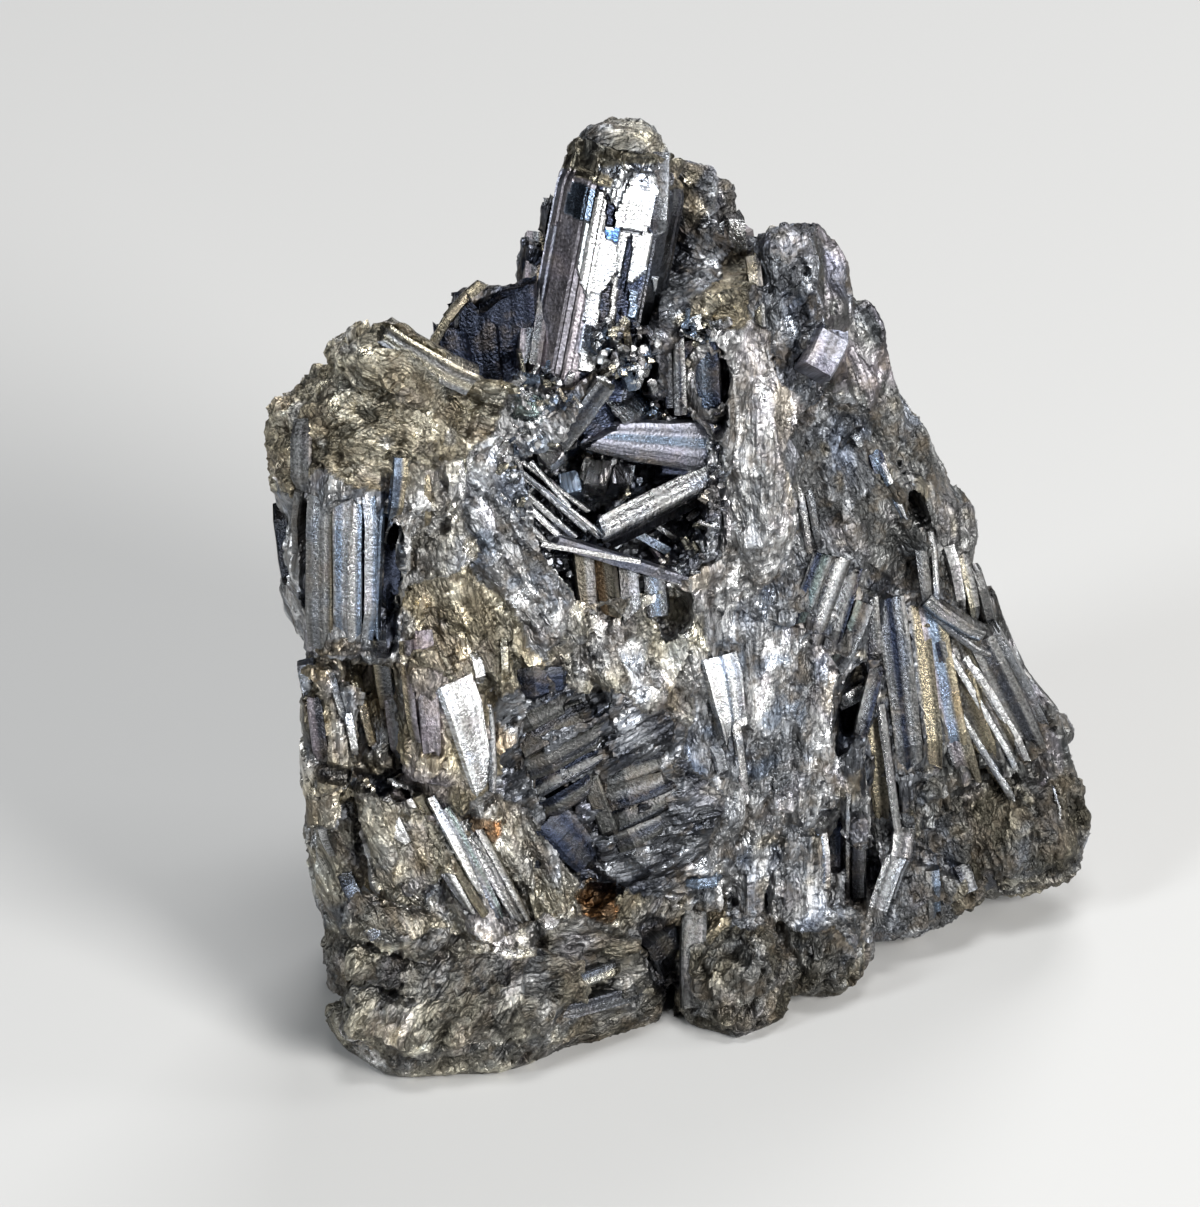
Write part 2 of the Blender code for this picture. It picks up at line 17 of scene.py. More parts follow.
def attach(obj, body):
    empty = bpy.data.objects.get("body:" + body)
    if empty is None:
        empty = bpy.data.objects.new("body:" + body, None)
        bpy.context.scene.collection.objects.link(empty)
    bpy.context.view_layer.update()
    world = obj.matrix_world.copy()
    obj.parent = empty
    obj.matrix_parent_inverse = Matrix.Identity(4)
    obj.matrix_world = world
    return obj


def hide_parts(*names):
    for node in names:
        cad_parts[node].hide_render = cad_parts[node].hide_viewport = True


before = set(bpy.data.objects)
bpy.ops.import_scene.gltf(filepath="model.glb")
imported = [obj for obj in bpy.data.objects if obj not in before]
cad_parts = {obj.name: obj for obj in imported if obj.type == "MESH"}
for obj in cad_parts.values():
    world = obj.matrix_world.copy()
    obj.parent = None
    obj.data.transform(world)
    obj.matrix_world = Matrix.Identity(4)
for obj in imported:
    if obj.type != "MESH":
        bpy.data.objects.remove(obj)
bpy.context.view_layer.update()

MM = 0.001
# Where the solids' own origin lies in the lists, and the mean front face: the place across
# where it starts, and how far it turns and leans back for each millimetre across and up.
ORIGIN = Vector((3.08, 26.6, -2.0))
FRONT_EDGE = -28.0
FRONT_TURN = 0.413
FRONT_LEAN = 0.236
# The specimen is seen from this far above level.
SIGHT_SLOPE = math.radians(30)
RIGHTWARD = Vector((1.0, 0.0, 0.0))
OUTWARD = Vector((0.0, -math.cos(SIGHT_SLOPE), math.sin(SIGHT_SLOPE)))
UPWARD = Vector((0.0, math.sin(SIGHT_SLOPE), math.cos(SIGHT_SLOPE)))
# Faces that look outward more than this have the front's grain.
FRONT_LIMIT = -0.12
# Sight lines start this far out, and rows of blades behind start this far back.
FAR_OUT = 60.0
FRONT_MOST = 14.0

# Fineness of the remeshed solids, and width of the strips of a large crystal.
BODY_VOXEL = 0.38
LINING_VOXEL = 0.3
LINING_BLOCK = 1.3
STRIP = 0.4
# A broken tip slants by up to this share of the width.
TIP_SLANT = 0.4
# Where the mass meets a large crystal: how far past its sides it gives way (negative is inside
# them), and how far it draws back there and in the prism's room.
NEAR_MARGIN = -0.1
NEAR_DEPTH = 0.35
ROOM_DEPTH = 1.4
# The cut between the front and back pieces of the mass lies this far back, in metres.
SPLIT_DEPTH = 0.004
# The flat base stays as it is, and the relief reaches its full height this far above it.
BASE_HEIGHT = 1.5
# The right edge is drawn in over this width, and dug places get painted shade, darkest from this depth on.
DRAWN_REACH = 4.0
DUG_SHADE_DEPTH = 1.5
# How light the body is, how polished matt tints are, and the lightest a large crystal gets.
BODY_LIFT = 0.97
MATT_POLISH = 0.1
LIGHTEST = 0.95
# How far the ends of laid crystals dip into the mass, and how many small ones line the hollow.
LAID_SINK = 0.7
HOLLOW_COUNT = 240
# Seeds: where each kind of crystal starts its own run of random numbers.
LAID_SEED = 200
CRUST_SEED = 90
SHAPES_SEED = 400
HOLLOW_SEED = 61
BLADES_SEED = 11
PRISM_SEED = 7
CAP_SEED = 7

# The camera: distance and height of the view in metres, and the place it looks at in the lists.
VIEW_DISTANCE = 0.8
VIEW_HEIGHT = 0.1207
VIEW_CENTRE = (-6.0, 47.65, 3.0)
SENSOR = 36.0
# Height that the lights look at, in metres.
LIT_HEIGHT = 0.045
# Soft boxes: how far round to the right and up in degrees, distance and size in metres,
# power in watts, and colour.
LIGHTS = {
    "key": (42, 28, 0.95, (0.34, 0.36), 12.0, (1.0, 0.985, 0.96)),
    "left": (-52, 34, 0.95, (0.16, 0.4), 4.0, (0.93, 0.97, 1.0)),
    "top": (10, 80, 0.9, (0.3, 0.2), 3.2, (1.0, 1.0, 1.0)),
    "back": (165, 38, 1.0, (0.45, 0.4), 5.0, (1.0, 1.0, 1.0)),
    "side": (95, 20, 1.0, (0.25, 0.4), 3.0, (1.0, 1.0, 1.0)),
}

# Lead-grey metal and the tarnish on it, as linear reflectances. "white", far lighter than the metal,
# is a painted highlight; "dark" and "navy", far darker, are painted shade where they lie in slots,
# recesses and on shaded sides, and a dark tarnish elsewhere.
TINTS = {
    "steel": (0.235, 0.248, 0.268),
    "silver": (0.50, 0.505, 0.51),
    "white": (0.76, 0.78, 0.80),
    "gold": (0.315, 0.28, 0.205),
    "pale": (0.43, 0.405, 0.33),
    "dark": (0.060, 0.064, 0.075),
    "blue": (0.17, 0.215, 0.285),
    "navy": (0.03, 0.036, 0.055),
    "mauve": (0.26, 0.243, 0.265),
    "grey": (0.19, 0.192, 0.192),
    "lilac": (0.32, 0.33, 0.39),
    "earth": (0.13, 0.12, 0.095),
    "green": (0.15, 0.185, 0.183),
    "brown": (0.14, 0.10, 0.06),
    "rust": (0.21, 0.11, 0.05),
    "slate": (0.088, 0.09, 0.088),
    "azure": (0.10, 0.21, 0.46),
}

# Tints that never shine much.
MATT = ("grey", "mauve", "brown", "lilac", "earth", "slate")

# ---- crystals that lie in the front face, their outer side flush with it ----
# Foot and tip (across, up), width, how far proud, roll, tints from side to side, taper.
# White tints are painted highlights; navy and dark ones sunk below the face are painted shade in
# slots, and a dark tarnish elsewhere.
LAID = (
    # left edge and its flat plates
    ((-34.9, 65.8), (-35.0, 58.0), 2.4, 0.4, 6, "grey", 0),
    ((-35.7, 58.6), (-35.6, 46.2), 1.0, 0.5, 6, "grey", 0),
    ((-37.6, 57.6), (-36.7, 50.0), 1.8, 0.1, -30, "dark", 0),
    ((-33.1, 58.4), (-33.3, 43.2), 3.0, 0.5, -4, "grey steel grey earth", 0),
    ((-31.1, 58.0), (-31.3, 43.8), 2.3, 0.45, 4, "grey blue steel grey", 0),
    ((-29.9, 57.6), (-30.2, 43.6), 1.4, 0.55, 8, "silver blue", 0),
    ((-28.8, 58.2), (-29.2, 44.0), 1.4, 0.45, -6, "steel blue", 0),
    ((-27.7, 58.0), (-28.2, 44.0), 1.1, 0.4, 10, "silver blue", 0),
    # a navy sheet sunk in the slot: painted shade on its wall
    ((-26.6, 55.0), (-27.2, 43.8), 2.2, -1.5, 0, "navy", 0),
    ((-25.5, 62.0), (-26.2, 55.8), 1.5, 0.4, 0, "blue gold", 0),
    ((-23.0, 60.4), (-23.0, 55.0), 0.9, 0.2, 0, "gold", 0),
    # left shoulder ridge
    ((-18.6, 69.4), (-27.4, 74.4), 2.6, 0.9, 0, "pale grey pale grey", 0),
    # broken upright blades below them
    ((-35.0, 42.0), (-34.4, 38.6), 1.8, 0.3, 0, "steel", 0),
    ((-34.2, 38.8), (-33.4, 31.6), 1.6, 0.2, 0, "mauve dark", 0),
    ((-32.6, 41.0), (-31.2, 35.8), 0.9, 0.4, 0, "silver steel", 0),
    ((-30.8, 42.6), (-30.4, 38.4), 1.6, 0.3, 12, "pale", 0),
    ((-30.9, 36.8), (-30.3, 32.4), 0.9, 0.4, 0, "silver", 0),
    ((-29.6, 38.0), (-28.4, 32.6), 1.0, 0.3, 0, "pale gold", 0),
    ((-27.9, 44.2), (-26.9, 36.0), 1.6, 0.3, -8, "gold steel", 0),
    ((-26.8, 40.0), (-25.8, 31.6), 1.5, 0.4, 8, "mauve steel", 0),
    ((-25.3, 44.0), (-24.3, 33.6), 1.3, 0.3, 0, "gold mauve", 0),
    ((-23.6, 45.0), (-22.4, 32.4), 2.0, 0.4, -6, "mauve", 0),
    ((-18.7, 43.0), (-18.0, 39.6), 1.2, 0.5, 0, "white", 0),
    ((-15.6, 44.4), (-15.4, 40.0), 0.9, 0.4, 0, "pale", 0),
    ((-14.4, 39.8), (-8.6, 40.4), 3.6, 0.3, 10, "navy navy dark", 0.4),
    # dark layered block
    ((-14.8, 35.6), (-8.6, 38.8), 2.8, 0.15, 6, "slate grey slate dark", 0.2),
    ((-14.2, 33.4), (-6.8, 37.4), 2.9, 0.25, -4, "grey slate dark slate", 0.2),
    ((-13.6, 31.2), (-4.8, 35.6), 2.9, 0.2, 6, "slate dark grey slate", 0.2),
    ((-12.8, 29.0), (-5.2, 33.0), 2.5, 0.3, -6, "dark grey navy slate", 0.2),
    ((-12.2, 27.0), (-6.4, 30.6), 2.4, 0.2, 8, "dark slate navy", 0.2),
    ((-11.8, 26.6), (-6.8, 20.6), 4.6, 0.1, -16, "navy dark navy dark", 0.2),
    ((-7.4, 31.0), (-4.6, 23.2), 1.9, 0.25, 0, "slate grey slate", 0.2),
    ((-5.6, 30.2), (1.2, 32.2), 2.4, 0.25, 6, "grey slate dark", 0.3),
    ((-5.4, 28.0), (2.0, 30.4), 2.7, 0.35, -6, "dark navy grey slate", 0.2),
    ((-4.8, 25.6), (1.8, 28.6), 2.7, 0.25, 6, "dark slate grey navy", 0.2),
    ((-4.4, 23.6), (1.2, 26.2), 2.3, 0.2, 0, "slate dark grey", 0.3),
    # a dark sheet sunk in a hollow: painted shade
    ((-7.6, 38.2), (-5.2, 34.0), 2.2, -0.9, 0, "dark", 0.5),
    ((-13.4, 30.6), (-12.4, 18.4), 2.4, -0.3, 10, "slate grey dark", 0.2),
    # the dark notch, sunk: painted shade
    ((-0.6, 14.6), (1.2, 8.6), 4.0, -0.4, -18, "dark slate dark", 0.3),
    # the blade of white sheets, whose white is a painted highlight
    ((-21.0, 40.2), (-17.7, 26.8), 4.3, 0.9, -14, "white white silver white white white", 0.62),
    ((-17.1, 37.6), (-16.6, 28.8), 0.8, 0.5, 0, "steel silver", 0),
    # lower left bundle
    ((-27.6, 28.2), (-25.2, 23.4), 1.6, 0.4, 0, "silver", 0),
    ((-33.7, 25.8), (-32.3, 22.2), 1.0, 0.4, 0, "silver", 0),
    ((-25.4, 28.0), (-18.6, 16.4), 1.4, 0.3, 0, "steel grey silver", 0.3),
    ((-24.2, 28.4), (-17.4, 15.8), 1.2, 0.35, 8, "gold earth", 0.2),
    ((-22.9, 28.4), (-17.6, 18.2), 1.2, 0.7, -8, "white silver", 0.3),
    ((-21.6, 27.2), (-15.4, 15.0), 1.5, 0.4, 0, "blue steel green steel", 0.3),
    ((-19.6, 26.0), (-14.0, 15.4), 1.3, 0.6, 6, "steel silver grey", 0.3),
    ((-18.2, 25.2), (-13.0, 15.8), 1.1, 0.4, 0, "silver earth", 0.3),
    ((-31.8, 21.0), (-28.2, 14.0), 1.6, 0.2, 0, "dark steel", 0),
    # middle
    ((5.6, 42.6), (7.2, 34.0), 3.9, 0.9, -10, "white silver white blue white steel white", 0.5),
    ((7.6, 36.2), (8.8, 28.0), 1.0, 0.4, 0, "silver", 0),
    ((5.4, 33.4), (6.3, 30.0), 1.3, 0.4, -14, "steel", 0),
    ((2.6, 19.4), (6.6, 19.8), 1.2, 0.3, 10, "blue", 0),
    ((3.6, 17.0), (3.4, 6.2), 2.6, 0.5, -24, "grey", 0),
    ((-3.0, 11.4), (-12.0, 8.4), 1.6, 0.2, 0, "steel pale", 0),
    ((-1.2, 8.8), (-11.0, 6.4), 1.8, 0.2, 0, "dark steel", 0),
    # right of the column
    ((13.9, 59.6), (15.4, 52.2), 0.8, 0.5, 0, "silver", 0),
    ((15.0, 59.2), (16.0, 53.2), 0.8, 0.5, 0, "steel", 0),
    ((16.6, 52.8), (13.8, 45.2), 2.2, 0.4, 16, "grey navy green grey", 0),
    ((18.2, 52.4), (15.3, 43.6), 2.2, 0.6, 16, "grey dark silver grey", 0),
    ((19.6, 51.4), (17.1, 42.8), 2.0, 0.6, 18, "steel grey navy", 0),
    ((20.7, 47.8), (17.6, 40.8), 2.2, 0.3, -10, "green dark steel", 0),
    ((18.2, 37.4), (21.4, 39.4), 1.5, 0.7, 0, "steel silver", 0),
    # the fan
    ((21.5, 48.4), (22.1, 41.0), 1.5, 0.5, 12, "navy steel grey", 0),
    ((22.3, 41.6), (20.2, 33.8), 1.5, 0.7, 14, "grey steel navy", 0),
    ((23.3, 48.4), (25.7, 30.4), 3.2, 0.5, 6, "grey steel navy steel grey", 0),
    ((22.5, 37.4), (24.7, 23.8), 0.9, 0.8, 0, "silver grey", 0),
    ((22.0, 36.4), (23.2, 24.6), 2.6, 0.2, 10, "gold earth grey", 0),
    ((25.9, 48.4), (28.2, 30.8), 2.6, 0.3, 14, "grey gold earth", 0),
    ((27.5, 48.0), (30.6, 32.0), 2.7, 0.25, 12, "mauve blue gold", 0),
    ((28.0, 46.6), (30.6, 35.4), 1.2, 0.7, 16, "navy grey", 0),
    ((28.4, 40.0), (31.8, 29.2), 3.2, 0.1, 10, "steel mauve earth", 0),
    ((30.6, 41.0), (34.2, 30.6), 3.2, 0.1, 10, "earth grey gold", 0),
    ((28.3, 44.6), (37.2, 30.2), 0.8, 0.9, -8, "white silver", 0),
    ((29.9, 44.4), (36.8, 31.4), 3.0, 0.3, 8, "mauve grey earth", 0),
    ((31.3, 42.2), (38.1, 31.2), 1.0, 1.0, -6, "white silver", 0),
    ((30.3, 37.2), (37.3, 26.6), 0.8, 0.8, -8, "silver white", 0),
    ((31.4, 34.6), (35.4, 28.4), 0.5, 0.5, 0, "pale", 0),
    ((32.8, 44.2), (38.9, 32.4), 3.0, 0.3, 14, "grey dark grey", 0),
    ((33.7, 44.6), (39.6, 34.6), 2.6, 0.1, 14, "grey steel", 0),
    ((27.2, 48.0), (33.2, 44.2), 1.7, 0.9, 10, "blue silver grey", 0),
    ((28.0, 46.4), (34.0, 42.0), 0.8, 0.9, 0, "silver", 0),
    ((26.3, 55.4), (27.5, 47.0), 1.3, 0.5, 8, "steel grey", 0),
    ((27.7, 55.0), (28.3, 46.8), 0.8, 0.7, 0, "silver grey", 0),
    ((29.4, 53.6), (30.8, 46.4), 1.4, 0.4, 8, "grey silver", 0),
    ((30.9, 52.8), (32.5, 45.6), 1.3, 0.3, 0, "pale grey", 0),
    ((32.4, 51.0), (34.0, 45.0), 1.2, 0.2, 8, "grey", 0),
    ((25.2, 24.8), (24.6, 20.8), 2.2, 0.6, 0, "silver grey silver", 0),
    ((24.9, 22.4), (22.3, 14.2), 2.1, 0.8, 10, "silver grey silver steel", 0),
    ((19.2, 28.0), (19.4, 17.4), 0.5, 0.6, 0, "white", 0),
    ((16.6, 24.2), (17.0, 17.0), 1.2, 0.4, 0, "blue silver", 0),
    ((18.2, 26.6), (18.3, 19.0), 1.4, 0.1, 20, "dark navy", 0),
    ((20.4, 24.0), (20.6, 16.0), 1.4, 0.2, 20, "dark steel", 0),
    ((28.0, 20.4), (28.4, 15.0), 1.6, 0.2, 10, "grey blue", 0),
    ((31.0, 20.8), (32.0, 17.2), 1.8, 0.1, 10, "dark grey", 0),
    ((33.6, 20.6), (34.4, 18.0), 1.6, 0.1, 10, "grey dark", 0),
    ((40.2, 29.4), (41.6, 25.2), 0.4, 0.4, 0, "silver", 0),
    # right shoulder
    ((15.4, 70.8), (17.4, 75.2), 3.4, 1.5, 10, "lilac", 0),
    ((9.3, 82.4), (10.0, 75.0), 1.5, 0.5, 0, "pale grey", 0.2),
    # the dark gap: sunk navy is painted shade, the white spot a painted highlight
    ((21.2, 64.6), (23.6, 56.4), 1.7, -0.2, 0, "navy blue navy", 0.3),
    ((22.4, 62.0), (24.9, 56.0), 0.9, 0.3, 0, "blue silver", 0.3),
    ((19.6, 64.8), (20.4, 63.4), 0.9, 0.5, 0, "white", 0.4),
    # crown, beside the prism
    ((0.0, 92.4), (-0.4, 83.4), 1.8, 0.8, 20, "dark steel", 0),
    ((-10.6, 84.0), (-12.4, 71.0), 1.4, 0.6, -20, "steel mauve", 0),
    ((-12.4, 84.6), (-13.2, 71.0), 2.0, 0.5, -10, "mauve steel gold", 0),
    ((-14.1, 73.0), (-13.4, 69.0), 0.5, 0.6, 0, "pale", 0),
)

# Places where the mass is sunk and given painted shade: ends (across, up), width and depth.
DUG = (
    ((-26.9, 60.0), (-27.0, 55.0), 1.0, 1.0),
    ((-26.6, 55.0), (-27.2, 43.6), 2.0, 2.2),
    ((-34.6, 57.0), (-34.9, 47.5), 0.9, 1.4),
    ((-21.9, 61.6), (-21.4, 55.0), 0.7, 1.0),
    ((-33.0, 31.0), (-28.0, 29.4), 1.6, 1.2),
    ((-27.0, 30.4), (-24.0, 28.8), 1.4, 1.0),
    ((-8.0, 21.0), (-5.6, 19.2), 1.6, 1.2),
    ((-14.0, 19.0), (-12.0, 13.0), 1.0, 0.8),
    ((-0.8, 14.6), (0.6, 9.4), 2.8, 1.0),
    ((19.6, 37.4), (19.2, 35.2), 1.6, 1.6),
    ((20.2, 25.0), (21.4, 20.0), 2.6, 1.2),
    ((26.0, 22.0), (31.0, 20.0), 1.6, 1.0),
    ((21.0, 50.4), (23.0, 49.4), 2.0, 0.8),
    ((3.4, 71.4), (3.6, 66.4), 5.6, 3.2),
    ((-5.0, 76.6), (-2.4, 70.4), 4.0, 3.0),
)
# Lines that the front of the mass doesn't reach above: ends, and how proud it is at least.
TRIMS = (
    ((-31.0, 72.6), (-28.0, 75.4), -9.0),
    ((-28.0, 75.4), (-25.4, 75.0), -9.0),
    ((-25.4, 75.0), (-17.2, 69.6), -10.4),
    ((-17.2, 69.6), (-12.6, 69.0), -10.8),
    ((-12.6, 69.2), (-8.6, 68.8), -6.5),
    ((-8.6, 69.0), (-5.6, 71.0), -6.0),
)
# Where the right edge of the mass is drawn in: how far up, where the edge comes, and by how much.
DRAWN_IN = (
    (37.0, 39.6, 0.0),
    (41.0, 36.9, 1.7),
    (45.0, 35.0, 1.9),
    (49.5, 33.7, 2.4),
    (52.0, 32.7, 0.8),
    (54.5, 31.4, 0.0),
)

# Rows of the back and sides, points as (x, y, z): first and last foot, first and last tip,
# how many, width, thickness, seed, one tint after another, and laths in each.
BACK_ROWS = (
    (
        (-22.0, 37.0, 2.0), (24.0, 48.0, 2.0), (-20.0, 42.0, 40.0), (20.0, 51.0, 46.0),
        6, 7.2, 4.8, 51, "steel silver gold", 4,
    ),
    (
        (-18.0, 38.0, 26.0), (16.0, 46.0, 30.0), (-15.0, 45.0, 66.0), (11.0, 50.0, 74.0),
        5, 6.8, 4.8, 52, "steel mauve silver", 4,
    ),
    (
        (-6.0, 42.0, 52.0), (14.0, 44.0, 54.0), (-4.0, 46.0, 81.0), (12.0, 45.0, 72.0),
        3, 5.6, 4.6, 53, "steel silver", 3,
    ),
    (
        (26.0, 44.0, 3.0), (37.0, 40.0, 3.0), (19.0, 48.0, 50.0), (25.0, 42.0, 40.0),
        3, 5.6, 4.8, 54, "steel gold", 3,
    ),
    (
        (-31.0, 10.0, 4.0), (-29.0, 32.0, 4.0), (-33.6, 12.0, 36.0), (-32.0, 30.0, 40.0),
        3, 6.0, 4.6, 55, "grey earth", 3,
    ),
    (
        (-30.0, 16.0, 36.0), (-27.0, 32.0, 38.0), (-31.5, 19.0, 58.0), (-25.0, 31.0, 60.0),
        2, 6.4, 5.0, 56, "steel pale", 3,
    ),
)

# The pointed slab across the hollow: foot, tip, width, thickness, roll, tints, seed, taper.
SLAB = ((7.4, 63.2, -4.2), (-7.2, 64.2, -0.2), 5.0, 2.6, -14, "lilac lilac blue lilac lilac dark", 89, 0.45)
# The other crystals of its crust: foot and tip (across, up, proud), width, thickness, roll,
# tints, and how many laths side by side. White tints are painted highlights; navy and dark ones,
# under lighter blades and deep in the hollow, are painted shade.
CRUST_BLADES = (
    ((6.6, 61.6, -4.4), (-0.6, 61.4, -2.6), 2.6, 2.0, 20, "navy", 1),
    ((7.0, 61.4, -2.6), (-6.4, 54.8, -0.4), 2.3, 2.2, 26, "silver", 1),
    ((7.0, 60.6, -3.4), (-6.0, 54.0, -1.4), 1.6, 2.4, 50, "dark", 1),
    ((-10.4, 63.4, -3.8), (-5.2, 69.6, 0.7), 2.3, 2.2, 18, "silver steel dark silver", 1),
    ((-9.0, 63.0, -6.6), (-4.4, 68.2, -2.8), 1.6, 2.2, 40, "navy", 1),
    ((-11.0, 65.0, -4.0), (-6.2, 70.0, -1.0), 1.4, 1.8, 0, "steel", 1),
    ((-3.0, 66.4, -6.0), (-3.2, 67.6, -0.4), 3.8, 3.6, 20, "blue steel", 1),
    ((-13.4, 66.4, -4.0), (-13.0, 67.2, 0.8), 2.6, 2.6, 10, "green", 1),
    ((-10.6, 61.4, -6.0), (-10.8, 62.6, -0.4), 2.4, 2.4, 30, "silver", 1),
    ((-6.8, 59.6, -6.0), (-6.4, 61.0, -0.6), 3.0, 2.6, 0, "silver", 1),
    ((-4.2, 59.4, -6.5), (-3.6, 60.6, -1.0), 2.4, 2.4, 20, "steel", 1),
    ((-8.8, 58.6, -7.0), (-9.0, 59.6, -1.6), 2.2, 2.4, 0, "blue", 1),
    ((-15.2, 61.6, -1.8), (-5.2, 54.2, -0.6), 0.6, 1.0, 0, "white", 1),
    ((-14.8, 62.6, -2.4), (-7.2, 56.8, -1.4), 0.5, 1.0, 14, "silver", 1),
    ((-15.8, 60.8, -1.2), (-8.4, 54.4, 0.0), 0.6, 1.0, 20, "silver", 1),
    ((-14.0, 60.8, -1.4), (-6.0, 54.0, -0.3), 0.5, 0.9, -10, "steel", 1),
    ((-15.4, 59.4, -0.6), (-9.4, 53.6, 0.6), 0.6, 1.0, 0, "white", 1),
    ((-16.0, 58.6, 0.2), (-10.8, 53.0, 1.2), 0.6, 1.0, 12, "silver", 1),
    ((-13.0, 61.8, -1.8), (-9.0, 57.2, -1.0), 0.5, 0.9, 0, "white", 1),
    ((-12.0, 59.0, -1.0), (-7.4, 54.8, -0.2), 0.5, 0.9, 0, "steel", 1),
    ((-15.0, 62.6, -2.0), (-12.0, 63.0, -1.4), 0.9, 1.0, 0, "blue", 1),
    ((-10.4, 53.9, 0.9), (3.0, 50.1, 0.5), 1.2, 1.2, 16, "lilac", 1),
    ((-12.0, 53.6, 1.2), (-2.0, 51.8, 0.9), 0.6, 1.0, 0, "silver", 1),
    ((-8.0, 53.0, 0.8), (2.4, 49.6, 0.4), 0.5, 1.2, 0, "white", 1),
    ((-3.6, 55.4, -5.4), (4.4, 50.8, -4.0), 0.9, 1.0, 0, "blue", 1),
    ((-2.0, 56.6, -6.4), (4.8, 52.0, -5.0), 0.7, 1.0, 0, "steel", 1),
)

# The big blunt prism of the crown: foot and tip, and the room kept for it: width, thickness, roll.
PRISM = ((-8.8, 65.0, -4.7), (-3.5, 92.6, -7.8))
PRISM_ROOM = (12.4, 10.0, 0)
# Flat dark plates of the left shoulder, the crown, the recess and under the sill, as above: their navy and
# dark tints, set back in recesses, are painted shade.
SHOULDER_PLATES = (
    ((-15.0, 64.0, -8.2), (-15.4, 79.4, -8.8), 6.0, 2.4, 4, "navy", 1),
    ((-17.2, 64.0, -8.4), (-18.6, 77.8, -9.0), 4.2, 2.4, -3, "navy", 1),
    ((-19.4, 66.0, -8.6), (-20.8, 75.6, -9.2), 3.4, 2.4, -6, "navy", 1),
    ((-22.6, 73.2, -8.6), (-20.9, 76.2, -8.5), 0.9, 1.2, 10, "earth gold", 1),
    ((-21.1, 75.8, -8.5), (-18.9, 78.4, -8.4), 1.1, 1.2, -10, "gold earth", 1),
    ((-19.1, 78.2, -8.4), (-17.4, 79.6, -8.3), 1.0, 1.2, 10, "earth gold", 1),
    ((-3.6, 69.0, -6.8), (-0.2, 91.6, -6.8), 3.4, 4.0, -24, "dark steel", 2),
    ((0.9, 67.4, -3.0), (0.7, 73.6, -2.8), 1.0, 1.8, 0, "steel navy", 1),
    ((1.9, 66.8, -2.8), (1.6, 74.4, -2.4), 1.3, 2.2, 8, "silver navy steel", 1),
    ((4.3, 66.8, -3.4), (3.9, 74.6, -3.0), 3.8, 2.4, 4, "navy blue navy navy", 1),
    ((-7.8, 53.4, -0.9), (-7.0, 46.4, 0.9), 2.0, 1.8, 0, "earth grey", 1),
    ((-5.6, 52.7, -0.9), (-4.8, 46.0, 1.0), 2.1, 1.8, 10, "brown earth", 1),
    ((-3.3, 52.0, -1.0), (-2.8, 46.0, 0.8), 2.0, 1.8, -8, "grey steel", 1),
    ((-0.6, 51.0, -0.8), (-0.2, 46.2, 0.6), 2.4, 2.2, 0, "steel blue steel", 1),
)
# Tints of the small crystals on the crust, and of those in the clusters, where white is a painted glint.
CRUST_TINTS = ("steel", "silver", "dark", "steel", "mauve", "pale")
CLUSTER_TINTS = ("steel", "silver", "dark", "silver", "white", "pale", "blue")
CRUST_SIZE = 1.1
# Clusters of small blocky crystals: centre and reach (across, up), how many, and their size.
CLUSTERS = (
    ((-3.6, 73.0), (3.0, 3.2), 70, 1.5),
    ((-11.6, 68.6), (3.6, 1.8), 46, 1.3),
    ((-8.4, 62.0), (3.6, 3.0), 30, 1.7),
    ((-2.0, 68.4), (3.0, 1.4), 16, 1.4),
    ((-13.6, 62.0), (2.6, 3.4), 36, 1.2),
    ((4.0, 74.8), (2.4, 1.0), 30, 1.3),
    ((-12.4, 57.0), (2.6, 2.0), 16, 0.8),
)

